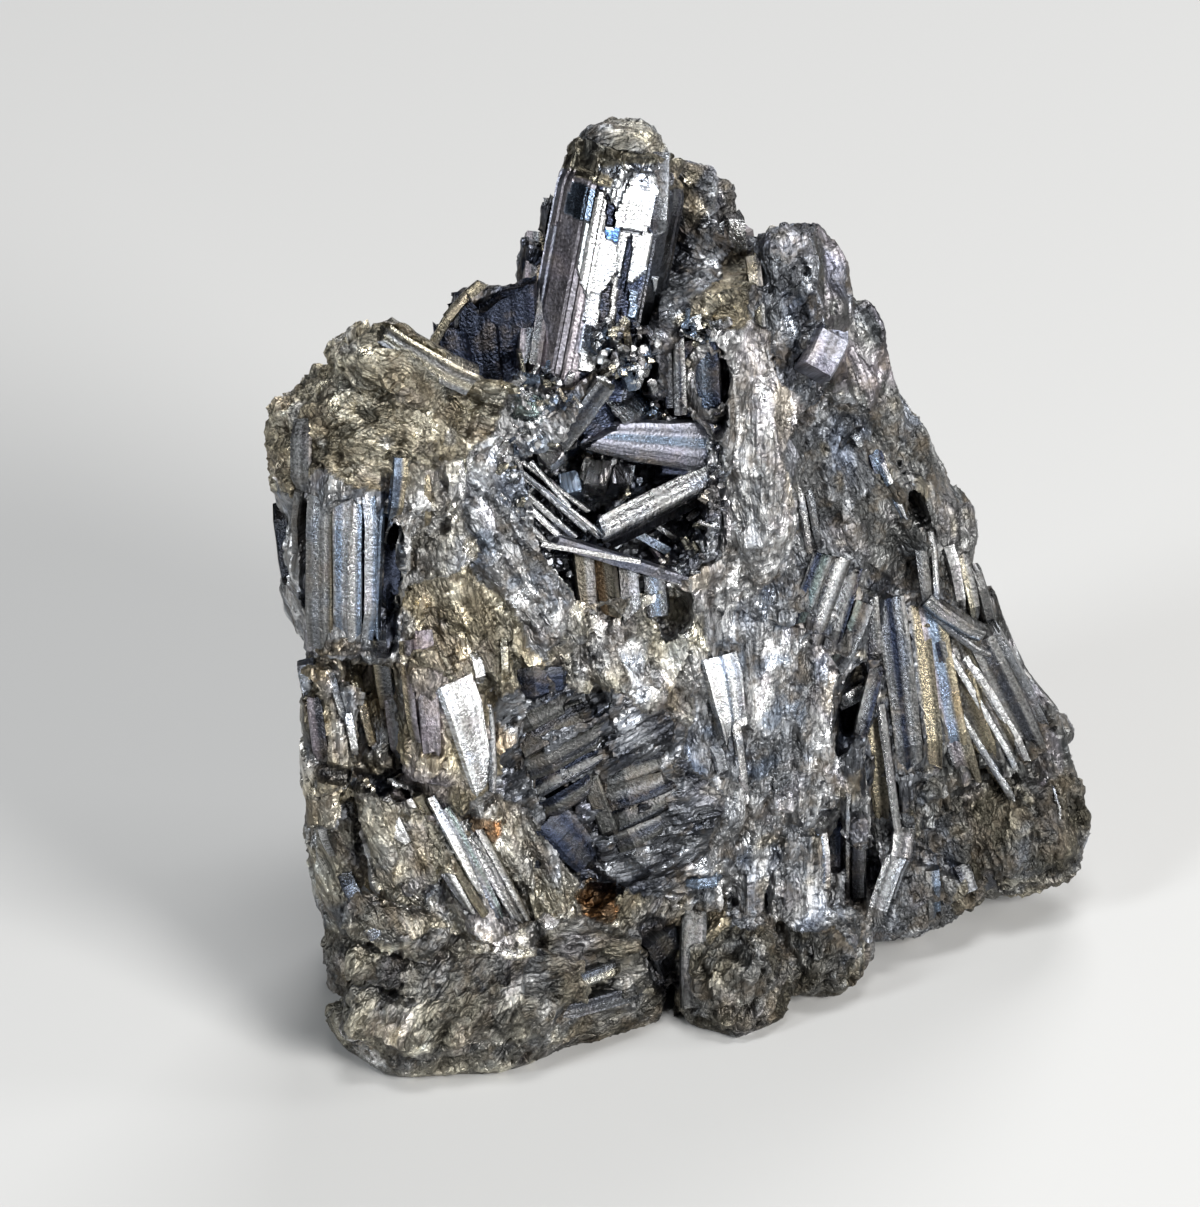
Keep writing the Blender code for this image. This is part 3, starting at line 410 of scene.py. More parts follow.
# Grain of the mass: centre and reach (across, up), direction in degrees from rightward,
# length, width and height of its broken blades, how crumpled it is, main and second tint,
# and the rare one.
GRAIN = (
    ((-29, 66), (10, 9), 160, 2.0, 1.2, 0.60, 1.2, "pale", "gold", "silver"),
    ((-31, 52), (6, 10), 80, 6.0, 1.4, 0.45, 0.4, "steel", "silver", "blue"),
    ((-23, 55), (5, 9), 100, 3.0, 1.5, 0.60, 0.9, "pale", "silver", "gold"),
    ((-14, 54), (7, 10), 118, 5.0, 1.5, 0.70, 0.7, "silver", "steel", "blue"),
    ((-19, 45), (6, 8), 110, 3.6, 1.7, 0.70, 0.9, "pale", "gold", "silver"),
    ((-31, 34), (6, 9), 95, 4.5, 1.6, 0.70, 0.6, "steel", "gold", "dark"),
    ((-22, 34), (6, 8), 82, 6.0, 1.8, 0.60, 0.6, "mauve", "gold", "dark"),
    ((-27, 22), (8, 7), 118, 5.0, 1.6, 0.65, 0.8, "pale", "steel", "gold"),
    ((-17, 20), (6, 8), 116, 6.0, 1.4, 0.55, 0.6, "pale", "silver", "brown"),
    ((-18.0, 25.4), (1.4, 2.0), 110, 2.0, 1.0, 0.5, 0.9, "rust", "pale", "gold"),
    ((-6.0, 17.2), (1.8, 1.2), 20, 2.0, 1.0, 0.5, 0.9, "rust", "gold", "pale"),
    ((-24, 7), (12, 7), 60, 2.6, 1.6, 0.60, 1.1, "grey", "pale", "earth"),
    # navy and dark in the set-back left shoulder: painted shade
    ((-18, 78), (5, 4), 80, 6.0, 2.0, 0.2, 0.1, "navy", "dark", "earth"),
    ((-30, 1), (4, 2.4), 40, 2.4, 1.2, 0.4, 0.9, "pale", "silver", "gold"),
    ((-6, 8), (8, 6), 10, 5.0, 1.4, 0.50, 0.8, "grey", "earth", "pale"),
    ((-8, 32), (7, 8), 32, 7.0, 1.6, 0.45, 0.4, "dark", "steel", "navy"),
    ((0, 24), (6, 6), 12, 5.0, 1.4, 0.45, 0.5, "dark", "steel", "navy"),
    ((-3, 44), (7, 6), 108, 3.4, 1.6, 0.65, 0.8, "silver", "pale", "dark"),
    ((1, 15), (6, 4), 70, 2.6, 1.7, 0.60, 0.9, "gold", "steel", "brown"),
    ((9, 62), (5, 14), 92, 4.4, 1.1, 0.45, 0.7, "silver", "silver", "steel"),
    ((3, 84), (6, 9), 140, 2.6, 1.4, 0.60, 1.0, "dark", "steel", "gold"),
    ((7.0, 79.5), (3.0, 4.5), 150, 2.4, 1.0, 0.5, 0.9, "gold", "earth", "pale"),
    ((-4, 93), (6, 3), 20, 2.4, 1.3, 0.35, 0.9, "pale", "steel", "dark"),
    ((12, 40), (7, 10), 92, 4.6, 1.3, 0.50, 0.9, "silver", "steel", "blue"),
    ((12, 22), (8, 8), 88, 4.4, 1.4, 0.60, 0.8, "steel", "silver", "gold"),
    ((12, 9), (9, 7), 80, 2.4, 1.4, 0.80, 1.3, "earth", "grey", "pale"),
    ((12.5, 77), (3.5, 9), 98, 1.8, 0.9, 0.60, 0.6, "steel", "dark", "blue"),
    ((20, 75), (5, 10), 112, 6.0, 2.2, 0.2, 0.1, "slate", "mauve", "grey"),
    ((18, 62), (5, 8), 112, 2.2, 1.2, 0.50, 0.8, "grey", "steel", "gold"),
    ((26, 60), (6, 9), 112, 4.0, 1.4, 0.40, 0.5, "grey", "slate", "gold"),
    ((24, 38), (6, 9), 95, 8.0, 1.4, 0.25, 0.1, "steel", "dark", "gold"),
    ((35, 37), (7, 9), 112, 8.0, 1.4, 0.25, 0.1, "slate", "grey", "mauve"),
    ((36, 22), (9, 7), 110, 2.6, 1.4, 0.65, 1.1, "grey", "earth", "pale"),
    ((24, 18), (7, 6), 100, 3.0, 1.4, 0.60, 1.0, "grey", "steel", "dark"),
)
# The same for the back and sides, where the blades stand upright.
REST_GRAIN = ((0, 0), (1, 1), 90, 8.0, 1.8, 0.6, 0.6, "steel", "silver", "gold")


# ---- placing ----
Blade = namedtuple(
    "Blade", "foot tip width thickness outward roll tints laths seed taper sink", defaults=(0.0, 0.0)
)


def place(point):
    """A point of the lists, as a place in the shared frame."""
    return (Vector(point) - ORIGIN) * MM


def front(across, up, proud=0.0):
    """The point this far across and up the mean front face, then moved out of it."""
    turned = FRONT_TURN * (across - FRONT_EDGE)
    sine, cosine = math.sin(SIGHT_SLOPE), math.cos(SIGHT_SLOPE)
    height = (up - turned * sine) / (FRONT_LEAN * sine + cosine)
    point = Vector((across, turned + FRONT_LEAN * height, height))
    return place(point + Vector((0.0, -cosine, sine)) * proud)


def blade_frame(foot, tip, outward, roll):
    """Axes of a blade: Z from foot to tip, Y as near outward as it can be, then rolled."""
    along = (tip - foot).normalized()
    side = outward.cross(along).normalized()
    face = along.cross(side)
    axes = Matrix((side, face, along)).transposed().to_4x4()
    return Matrix.Translation(foot) @ axes @ Matrix.Rotation(math.radians(roll), 4, "Z")


def row_of_points(first_foot, last_foot, first_tip, last_tip, count, seed):
    """Feet and tips of a row of blades: the same uneven spacing as on the solids."""
    rng = random.Random(seed)
    for index in range(count):
        share = (index + rng.uniform(-0.18, 0.18)) / max(1, count - 1)
        share = min(1.0, max(0.0, share))
        foot = Vector(first_foot).lerp(Vector(last_foot), share)
        tip = Vector(first_tip).lerp(Vector(last_tip), share)
        tip = foot + (tip - foot) * rng.uniform(0.88, 1.06)
        yield foot, tip, rng.uniform(0.8, 1.2), rng.uniform(-28, 28)


def single_blades(rows, first_seed):
    """The listed blades, whose places say how proud they are too."""
    found = []
    for index, (foot, tip, width, thickness, roll, tints, laths) in enumerate(rows):
        ends = front(*foot), front(*tip)
        sizes = width, thickness
        found.append(Blade(*ends, *sizes, OUTWARD, roll, tints, laths, first_seed + index))
    return found


class Skin:
    """Finds where the lines of sight meet the solids."""

    def __init__(self, nodes):
        graph = bpy.context.evaluated_depsgraph_get()
        self.trees = [BVHTree.FromObject(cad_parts[node], graph) for node in nodes]

    def met(self, across, up):
        """How proud of the mean face the solids are here, and which way they face."""
        start = front(across, up, FAR_OUT)
        hits = [tree.ray_cast(start, -OUTWARD) for tree in self.trees]
        hits = [hit for hit in hits if hit[0] is not None]
        if not hits:
            return None
        spot, normal, _, distance = min(hits, key=lambda hit: hit[3])
        return FAR_OUT - distance / MM, normal

    def line(self, first, last):
        """The straight line that follows the skin best between two places, and its outward side."""
        shares, depths, outward = [], [], Vector()
        for step in range(9):
            share = step / 8
            met = self.met(*Vector(first).lerp(Vector(last), share))
            if met:
                shares.append(share)
                depths.append(met[0])
                outward += met[1]
        slope, level = np.polyfit(shares, depths, 1)
        return level, level + slope, (outward.normalized() + OUTWARD).normalized()


def laid_blades(rows, skin):
    """The same, for crystals whose outer side lies along the skin."""
    found = []
    for index, (foot, tip, width, rise, roll, tints, taper) in enumerate(rows):
        thickness = 0.7 * width + 0.9
        low, high, outward = skin.line(foot, tip)
        sunk = rise - thickness / 2
        ends = front(*foot, low + sunk), front(*tip, high + sunk)
        kept = tints, 1, LAID_SEED + index, taper, LAID_SINK
        found.append(Blade(*ends, width, thickness, outward, roll, *kept))
    return found


def face_places(points):
    """Across, up and proud of the mean front face, for points in millimetres."""
    spots = points + np.array(ORIGIN)
    sine, cosine = math.sin(SIGHT_SLOPE), math.cos(SIGHT_SLOPE)
    up = spots[:, 1] * sine + spots[:, 2] * cosine
    turned = FRONT_TURN * (spots[:, 0] - FRONT_EDGE)
    height = (up - turned * sine) / (FRONT_LEAN * sine + cosine)
    mean = height * sine - (turned + FRONT_LEAN * height) * cosine
    return spots[:, 0], up, spots[:, 2] * sine - spots[:, 1] * cosine - mean


def blades_of_rows():
    """The same for the rows of the back and sides."""
    found = []
    middle = place(ORIGIN + Vector((0.0, 4.0, 0.0)))
    for *ends, count, width, thickness, seed, tints, laths in BACK_ROWS:
        for index, parts in enumerate(row_of_points(*ends, count, seed)):
            if parts[0].y < FRONT_MOST:
                continue
            foot, tip = place(parts[0]), place(parts[1])
            outward = (((foot + tip) / 2 - middle) * Vector((1, 1, 0))).normalized()
            sizes = width * parts[2], thickness * parts[2]
            names = tints.split()
            tint = " ".join(names[index % len(names):] + names[:index % len(names)])
            found.append(Blade(foot, tip, *sizes, outward, parts[3], tint, laths, seed * 7 + index))
    return found


# ---- gathering many small crystals into one mesh ----
class Gathering:
    """A mesh in the making, with a tint and a place along the grain at each point."""

    def __init__(self):
        self.bm = bmesh.new()
        self.tints = []
        self.grains = []

    def add(self, mesh, matrix, tint, grain_scale, offset):
        """Adds a copy of mesh; its own points, scaled, are the places along its grain."""
        points = np.zeros(len(mesh.vertices) * 3, np.float32)
        mesh.vertices.foreach_get("co", points)
        self.grains.append(points.reshape(-1, 3) * np.array(grain_scale) + offset)
        self.tints.append(np.array(tint) * np.ones((len(mesh.vertices), 1)))
        mesh.transform(matrix)
        self.bm.from_mesh(mesh)

    def finish(self, name, material):
        """Shows the whole as one piece, with nothing below the base."""
        for vert in self.bm.verts:
            vert.co.z = max(vert.co.z, 0.0)
        mesh = as_mesh(self.bm, name)
        write_layers(mesh, np.concatenate(self.tints), np.concatenate(self.grains))
        return show(name, mesh, material)


def keep_numbers(mesh, name, numbers):
    """Keeps one number for each of the mesh's points."""
    layer = mesh.attributes.new(name, "FLOAT", "POINT")
    layer.data.foreach_set("value", numbers)


def write_layers(mesh, tints, grains, crumple=0.0):
    """Puts the tint, the place along the grain and how crumpled it is on the mesh's points."""
    keep_numbers(mesh, "crumple", crumple + np.zeros(len(mesh.vertices), np.float32))
    layer = mesh.attributes.new("tint", "FLOAT_COLOR", "POINT")
    layer.data.foreach_set("color", np.asarray(tints, np.float32).ravel())
    layer = mesh.attributes.new("grain", "FLOAT_VECTOR", "POINT")
    layer.data.foreach_set("vector", np.asarray(grains, np.float32).ravel())


def as_mesh(bm, name):
    """Turns a finished bmesh into a mesh."""
    mesh = bpy.data.meshes.new(name)
    bm.to_mesh(mesh)
    bm.free()
    return mesh


def show(name, mesh, material):
    """Puts a mesh in the scene, flat faced."""
    mesh.materials.clear()
    mesh.materials.append(material)
    mesh.polygons.foreach_set("use_smooth", [False] * len(mesh.polygons))
    made = bpy.data.objects.new(name, mesh)
    bpy.context.scene.collection.objects.link(made)
    return made


# ---- one striated lath ----
LATH_SECTION = ((0.5, 0.1), (0.42, 0.5), (-0.42, 0.5), (-0.5, 0.1), (-0.42, -0.5), (0.42, -0.5))


def around_section(share, width, thickness):
    """The point this share of the way round a flattened six-sided section."""
    corners = [Vector((x * width, y * thickness)) for x, y in LATH_SECTION]
    sides = [(corners[(index + 1) % 6] - corner) for index, corner in enumerate(corners)]
    left = share * sum(side.length for side in sides)
    for corner, side in zip(corners, sides):
        if left <= side.length:
            return corner + side * (left / side.length)
        left -= side.length
    return corners[0].copy()


def tube(strips, rings):
    """An upright tube of unit size with closed ends, and this many steps up its side."""
    bm = bmesh.new()
    bmesh.ops.create_cone(bm, cap_ends=True, segments=strips, radius1=1, radius2=1, depth=1)
    rim = [edge for edge in bm.edges if abs(edge.verts[0].co.z - edge.verts[1].co.z) > 0.5]
    bmesh.ops.subdivide_edges(bm, edges=rim, cuts=rings - 1, use_grid_fill=False)
    return bm


def turn_of(vert):
    """How far round the tube a point is."""
    return math.atan2(vert.co.y, vert.co.x) % math.tau


def strip_of(vert, strips):
    """Which strip of the tube a point is on."""
    return int(round(turn_of(vert) / math.tau * strips)) % strips


def make_lath(width, thickness, length, seed, taper, sink):
    """A flattened rod from z = 0 to its length in millimetres: long grooves, a ledge where an
    outer sheet ends, a broken tip whose strips end at different heights. The tip is narrower
    by taper, and both ends dip by sink. Each strip is a little lighter or darker, kept as
    "lift", and where it lies from side to side is kept as "share"."""
    rng = random.Random(seed)
    strips = 2 * max(6, min(30, round((width + thickness) / STRIP)))
    rings = max(4, min(8, round(length / 3)))
    bm = tube(strips, rings)
    grooves = [rng.choice((0.0, 0.0, 0.012, 0.028, 0.05)) for _ in range(strips)]
    lifts = [rng.choice((0.55, 0.8, 0.95, 1.05, 1.22)) for _ in range(strips)]
    ends = [rng.random() for _ in range(strips)]
    waves = [rng.uniform(-0.025, 0.025) for _ in range(rings + 1)]
    ledge = rng.uniform(0.35, 0.9)
    ledge_side = rng.uniform(0.5, 2.6)
    tilt = rng.uniform(-TIP_SLANT, TIP_SLANT)
    shades, shares = [], []
    for vert in bm.verts:
        strip = strip_of(vert, strips)
        level = vert.co.z + 0.5
        spot = around_section(strip / strips, width, thickness)
        size = 1.0 - grooves[strip] + waves[int(round(level * rings))]
        if level > ledge and math.cos(turn_of(vert) - ledge_side) > 0.1:
            size -= 0.09
        height = level * length
        if level > 0.99:
            size *= 0.93
            height += width * (tilt * spot.x / width * 2 - abs(tilt) * 0.5)
            height -= 0.35 * min(width, 1.8) * ends[strip]
        dip = sink * max(0.0, 1.0 - min(level, 1.0 - level) / 0.1) ** 2
        shades.append(lifts[strip] * rng.uniform(0.92, 1.08))
        shares.append(spot.x / width + 0.5)
        narrow = 1.0 - taper * level ** 2.5
        vert.co = Vector((spot.x * size * narrow, spot.y * size * (narrow + 1) / 2 - dip, height))
    mesh = as_mesh(bm, "lath")
    keep_numbers(mesh, "lift", shades)
    keep_numbers(mesh, "share", shares)
    return mesh


def banded(mesh, colours):
    """The tint of each point of a lath: the colours side by side, each strip a bit different."""
    lift, share = np.zeros(len(mesh.vertices)), np.zeros(len(mesh.vertices))
    mesh.attributes["lift"].data.foreach_get("value", lift)
    mesh.attributes["share"].data.foreach_get("value", share)
    band = np.clip((share * len(colours)).astype(int), 0, len(colours) - 1)
    tints = np.array(colours)[band]
    tints[:, :3] = np.clip(tints[:, :3] * lift[:, None], 0, LIGHTEST)
    return tints


def add_blade(gathering, blade, rng):
    """Adds one large crystal: laths side by side, grown together."""
    foot, tip, width, thickness, outward, roll, tints, laths, seed, taper, sink = blade
    frame_now = blade_frame(foot, tip, outward, roll) @ Matrix.Scale(MM, 4)
    length = (tip - foot).length / MM
    names = tints.split()
    shares = [rng.uniform(0.75, 1.25) for _ in range(laths)]
    across = -width / 2
    for index, share in enumerate(shares):
        lath_width = width * share / sum(shares)
        middle = across + lath_width / 2
        across += lath_width
        reach = length * (rng.uniform(0.86, 1.0) if index else 1.0)
        edge = abs(middle) / (width / 2 + 0.01)
        deep = thickness * (1.0 - 0.3 * edge * edge) * rng.uniform(0.92, 1.08)
        mesh = make_lath(lath_width * 1.12, deep, reach, seed * 13 + index, taper, sink)
        turn = Matrix.Rotation(math.radians(rng.uniform(-7, 7)), 4, "Z")
        lean = Matrix.Rotation(math.radians(rng.uniform(-0.8, 0.8)), 4, "Y")
        shift = Matrix.Translation((middle, rng.uniform(-0.05, 0.08) * thickness, 0))
        bands = names if laths == 1 else [names[index % len(names)]]
        colour = banded(mesh, [lifted(name, rng) for name in bands])
        offset = (seed * 3.7 + index * 11.3, seed * 1.3, index * 5.1)
        matrix = frame_now @ shift @ lean @ turn
        gathering.add(mesh, matrix, colour, (1, 1, 1), offset)
        bpy.data.meshes.remove(mesh)


def shine(name, most):
    """How polished a tint is: this much, unless it is a matt one."""
    return MATT_POLISH if name in MATT else most


def lifted(name, rng):
    """A tint by name, a little lighter or darker each time, and a polish from 0 to 1."""
    lift = rng.uniform(0.85, 1.18)
    colour = [min(LIGHTEST, channel * lift) for channel in TINTS[name]]
    polish = MATT_POLISH if name in MATT else rng.uniform(0.4, 1.0)
    return (*colour, polish)


# ---- grain of the mass ----
ZONES = GRAIN + (REST_GRAIN,)


def zone_axes():
    """For each zone, its across, along and out directions as the rows of a matrix."""
    axes = []
    for row in GRAIN:
        angle = math.radians(row[2])
        along = RIGHTWARD * math.cos(angle) + UPWARD * math.sin(angle)
        axes.append((OUTWARD.cross(along), along, OUTWARD))
    axes.append(((1, 0, 0), (0.1, 0, 0.995), (0, -1, 0)))
    return np.array([[tuple(direction) for direction in row] for row in axes], float)


def column(index):
    """One column of the ZONES list as an array."""
    return np.array([row[index] for row in ZONES], float)


def wave(points, size, seed):
    """Smooth noise from -1 to 1 at each point, of this size in millimetres."""
    shift = Vector((seed * 17.3, seed * 5.1, seed * 9.7))
    return np.array([noise.noise(Vector(point) / size + shift) for point in points])


def zone_of(points, normals):
    """Which zone rules each point (in millimetres), with ragged borders."""
    across, up, _ = face_places(points)
    flat = np.stack([across + 2.6 * wave(points, 5.0, 1), up + 2.6 * wave(points, 5.0, 2)], 1)
    centres = np.array([row[0] for row in GRAIN], float)
    reaches = np.array([row[1] for row in GRAIN], float)
    away = ((flat[:, None, :] - centres[None]) / reaches[None]) ** 2
    zones = away.sum(2).argmin(1)
    facing = normals @ np.array(OUTWARD) + 0.15 * wave(points, 4.0, 3)
    return np.where(facing > FRONT_LIMIT, zones, len(GRAIN))


def hashed(*keys):
    """A repeatable number from 0 to 1 for each set of numbers."""
    total = 0
    for index, key in enumerate(keys):
        total = total + np.sin(np.round(key, 3) * 12.9898 * (index + 1) + index * 4.1)
    total = total * 43758.5453
    return total - np.floor(total)


def cells(spots):
    """The cell that each point is in: its centre, and how far inside it the point is."""
    centres = np.zeros_like(spots)
    inside = np.zeros(len(spots))
    for index, spot in enumerate(spots):
        distances, found = noise.voronoi(Vector(spot), distance_metric="MANHATTAN")
        centres[index] = found[0]
        inside[index] = distances[1] - distances[0]
    return centres, inside


def relief(points, zones, grains, near):
    """How far each point stands out of the mean skin, in millimetres, and its broken blade."""
    tall = column(5)[zones]
    length, width = column(3)[zones], column(4)[zones]
    spots = grains / np.stack([width, length, width], 1)
    centres, inside = cells(spots)
    away = spots - centres
    key = hashed(centres[:, 0], centres[:, 1], centres[:, 2])
    slope = hashed(centres[:, 1], centres[:, 2], centres[:, 0]) - 0.5
    pitch = hashed(centres[:, 2], centres[:, 0], centres[:, 1]) - 0.5
    block = 1.5 * (key - 0.5) + 1.3 * slope * away[:, 0] + 1.0 * pitch * away[:, 1]
    block -= 0.35 * np.clip(1 - inside / 0.14, 0, 1)
    ridges = wave(grains * np.array([1, 0.2, 1]), 0.55, 4)
    crumple = 1.0 - 3.0 * np.abs(wave(grains * np.array([1, 0.5, 1]), 1.1, 5))
    lumps = wave(grains * np.array([1, 0.6, 1]), 2.2, 10)
    broad = wave(points, 6.0, 6)
    rough = column(6)[zones]
    shift = 0.5 * tall * block + 0.22 * ridges + rough * (0.22 * crumple + 0.45 * lumps) + 0.35 * broad
    shift = np.where(near, -NEAR_DEPTH + 0.1 * ridges, shift)
    return shift, key


def dug(points, normals):
    """How far each point sinks along the line of sight where the mass is dug away."""
    across, up, _ = face_places(points)
    spots = np.stack([across + 0.4 * wave(points, 1.6, 11), up], 1)
    depth = np.zeros(len(points))
    for first, last, width, down in DUG:
        first, line = np.array(first), np.array(last) - np.array(first)
        share = np.clip((spots - first) @ line / (line @ line), 0, 1)
        away = np.linalg.norm(spots - first - share[:, None] * line, axis=1)
        depth = np.maximum(depth, down * np.clip((width / 2 - away) / 0.5 + 0.5, 0, 1))
    return depth * np.clip(3 * (normals @ np.array(OUTWARD)), 0, 1)


def trimmed(points):
    """The points, with what stands above the TRIMS lines brought down to them."""
    for first, last, least in TRIMS:
        across, up, proud = face_places(points)
        share = (across - first[0]) / (last[0] - first[0])
        line = first[1] + share * (last[1] - first[1]) + 0.5 * wave(points, 1.5, 12)
        over = (share > 0) & (share < 1) & (proud > least)
        points = points - np.outer(np.where(over, np.maximum(up - line, 0), 0), np.array(UPWARD))
    return points


def drawn_in(points):
    """The points, with the right edge pressed in as DRAWN_IN says, evenly over its last part."""
    across, up, _ = face_places(points)
    heights, edges, amounts = np.array(DRAWN_IN).T
    edge, amount = np.interp(up, heights, edges), np.interp(up, heights, amounts)
    share = np.maximum(across - edge + DRAWN_REACH, 0) / (DRAWN_REACH + amount)
    return points - np.outer(share * amount, np.array(RIGHTWARD))


def tints_at(points, zones, key, shift):
    """Tint and polish of the mass at each point: painted shade in clefts, painted light on ridges, and a
    painted glint on a blade here and there.
    """
    table = np.array([[TINTS[name] for name in row[7:10]] for row in ZONES])
    mix = np.clip(0.5 + 1.2 * wave(points, 4.0, 7) + 0.6 * (key - 0.5), 0, 1)[:, None]
    colour = table[zones, 0] * (1 - mix) + table[zones, 1] * mix
    rare = np.clip(3.0 * (wave(points, 2.6, 8) - 0.34), 0, 0.6)[:, None]
    colour = colour * (1 - rare) + table[zones, 2] * rare
    luck = hashed(key)
    # Painted shade and light: lower points darker, higher ones lighter.
    lift = BODY_LIFT * (0.50 + 0.88 * luck) * np.clip(0.85 + 0.8 * shift, 0.25, 1.35)
    # Painted glints: a few blades much lighter, and fully polished.
    painted_glint = luck > 0.80 + 0.10 * (column(6)[zones] > 1)
    lift = np.where(painted_glint, lift * 1.5, lift)
    smooth = 0.7 * (1 - np.minimum(column(6)[zones], 1))
    matt = np.array([row[7] in MATT for row in ZONES])[zones]
    polish = np.where(painted_glint, 1.0, smooth + (0.7 - smooth) * hashed(key, luck))
    polish *= np.where(matt, 0.35, 0.85)
    return np.concatenate([np.minimum(colour * lift[:, None], 0.9), polish[:, None]], 1)


def near_blades(points, blades, margin):
    """Whether each point (in millimetres) lies inside, or this close to, a large crystal."""
    near = np.zeros(len(points), bool)
    full = np.concatenate([points * MM, np.ones((len(points), 1))], 1)
    for foot, tip, width, thickness, outward, roll, *_ in blades:
        local = full @ np.array(blade_frame(foot, tip, outward, roll).inverted()).T / MM
        length = (tip - foot).length / MM
        inside = np.abs(local[:, 0]) < width * 0.5 + margin
        inside &= np.abs(local[:, 1]) < thickness * 0.54 + margin
        inside &= (local[:, 2] > -margin) & (local[:, 2] < length + margin)
        near |= inside
    return near


def points_of(mesh):
    """Points in millimetres, and normals, as arrays."""
    points = np.zeros(len(mesh.vertices) * 3)
    normals = np.zeros(len(mesh.vertices) * 3)
    mesh.vertices.foreach_get("co", points)
    mesh.vertices.foreach_get("normal", normals)
    return points.reshape(-1, 3) / MM, normals.reshape(-1, 3)


def remeshed(node, voxel):
    """A fine, even copy of a CAD solid's skin."""
    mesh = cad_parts[node].data.copy()
    weld = bmesh.new()
    weld.from_mesh(mesh)
    bmesh.ops.remove_doubles(weld, verts=weld.verts, dist=0.001 * MM)
    weld.to_mesh(mesh)
    weld.free()
    coarse = bpy.data.objects.new("coarse", mesh)
    bpy.context.scene.collection.objects.link(coarse)
    remesh = coarse.modifiers.new("remesh", "REMESH")
    remesh.mode = "VOXEL"
    remesh.voxel_size = voxel * MM
    graph = bpy.context.evaluated_depsgraph_get()
    fine = bpy.data.meshes.new_from_object(coarse.evaluated_get(graph))
    bpy.data.objects.remove(coarse)
    return fine


def make_mass(blades, prism_room, material):
    """The body of the mass: the solid's own shape, broken into blades, ridges and clefts."""
    mesh = remeshed("stibnite_cluster", BODY_VOXEL)
    points, normals = points_of(mesh)
    zones = zone_of(points, normals)
    grains = np.einsum("nij,nj->ni", zone_axes()[zones], points)
    near = near_blades(points, blades, NEAR_MARGIN)
    shift, key = relief(points, zones, grains, near)
    sunk = dug(points, normals)
    shift = np.where(near_blades(points, [prism_room], 0.0), shift - ROOM_DEPTH, shift)
    settled = np.clip(points[:, 2] / BASE_HEIGHT, 0, 1)
    moved = points + normals * (shift * settled)[:, None] - np.outer(sunk * settled, np.array(OUTWARD))
    moved = drawn_in(trimmed(moved))
    moved[:, 2] = np.maximum(moved[:, 2], 0.0)
    mesh.vertices.foreach_set("co", (moved * MM).ravel())
    tints = tints_at(points, zones, key, shift)
    # Painted shade: dug places fade towards navy as they deepen.
    dark = np.array([*TINTS["navy"], 0.5])
    share = np.clip(sunk / DUG_SHADE_DEPTH, 0, 1)[:, None] * 0.85
    crumple = np.clip(0.15 + column(6)[zones], 0, 1)
    write_layers(mesh, tints * (1 - share) + dark * share, grains, crumple)
    return split_mass(mesh, material)


def split_mass(mesh, material):
    """Parts the body along upright planes, and closes each cut, to keep each piece light."""
    across = Vector((1, FRONT_TURN, 0)).normalized()
    away = Vector((-FRONT_TURN, 1, 0)).normalized()
    cuts = []
    for end, end_side in (("front", 1), ("back", -1)):
        for half, half_side in (("left", 1), ("right", -1)):
            planes = ((across, 0.0, half_side), (away, SPLIT_DEPTH, end_side))
            cuts.append((f"stibnite_mass_{end}_{half}", planes))
    made = []
    for name, planes in cuts:
        bm = bmesh.new()
        bm.from_mesh(mesh)
        for normal, distance, side in planes:
            geometry = bm.verts[:] + bm.edges[:] + bm.faces[:]
            cut = bmesh.ops.bisect_plane(
                bm, geom=geometry, dist=1e-7, plane_co=normal * distance,
                plane_no=normal * side, clear_outer=True,
            )
            rim = [item for item in cut["geom_cut"] if isinstance(item, bmesh.types.BMEdge)]
            bmesh.ops.triangle_fill(bm, edges=rim, use_beauty=True)
        made.append(show(name, as_mesh(bm, name), material))
    return made


# ---- small blocky crystals ----
def small_shapes():
    """A few small crystals, one unit long, wide and deep, lying along Z with a flat to Y."""
    made = []
    for seed in range(10):
        rng = random.Random(SHAPES_SEED + seed)
        bm = bmesh.new()
        sides = 6 if seed % 2 else 5
        bmesh.ops.create_cone(bm, cap_ends=True, segments=sides, radius1=0.5, radius2=0.5, depth=1)
        for vert in bm.verts:
            top = vert.co.z > 0
            squeeze = rng.uniform(0.4, 0.95) if top else rng.uniform(0.75, 1.05)
            vert.co.x = vert.co.x * squeeze + rng.uniform(-0.08, 0.08)
            vert.co.y *= rng.uniform(0.65, 1.0)
            vert.co.z += rng.uniform(-0.14, 0.08) if top else 0.0
        made.append(as_mesh(bm, "small"))
    return made


def skin_samples(node, count, seed, wanted):
    """Points in millimetres and normals, spread over a solid's skin where wanted says."""
    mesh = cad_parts[node].data
    mesh.calc_loop_triangles()
    corners = np.zeros(len(mesh.loop_triangles) * 3, int)
    mesh.loop_triangles.foreach_get("vertices", corners)
    tris = points_of(mesh)[0][corners.reshape(-1, 3)]
    cross = np.cross(tris[:, 1] - tris[:, 0], tris[:, 2] - tris[:, 0])
    area = np.linalg.norm(cross, axis=1)
    normals = cross / np.maximum(area, 1e-9)[:, None]
    weight = area * wanted(tris.mean(1), normals)
    rng = np.random.default_rng(seed)
    chosen = rng.choice(len(tris), count, p=weight / weight.sum())
    one, two = rng.random(count), rng.random(count)
    over = one + two > 1
    one[over], two[over] = 1 - one[over], 1 - two[over]
    first, second, third = (tris[chosen, index] for index in range(3))
    spots = first + one[:, None] * (second - first) + two[:, None] * (third - first)
    return spots, normals[chosen]


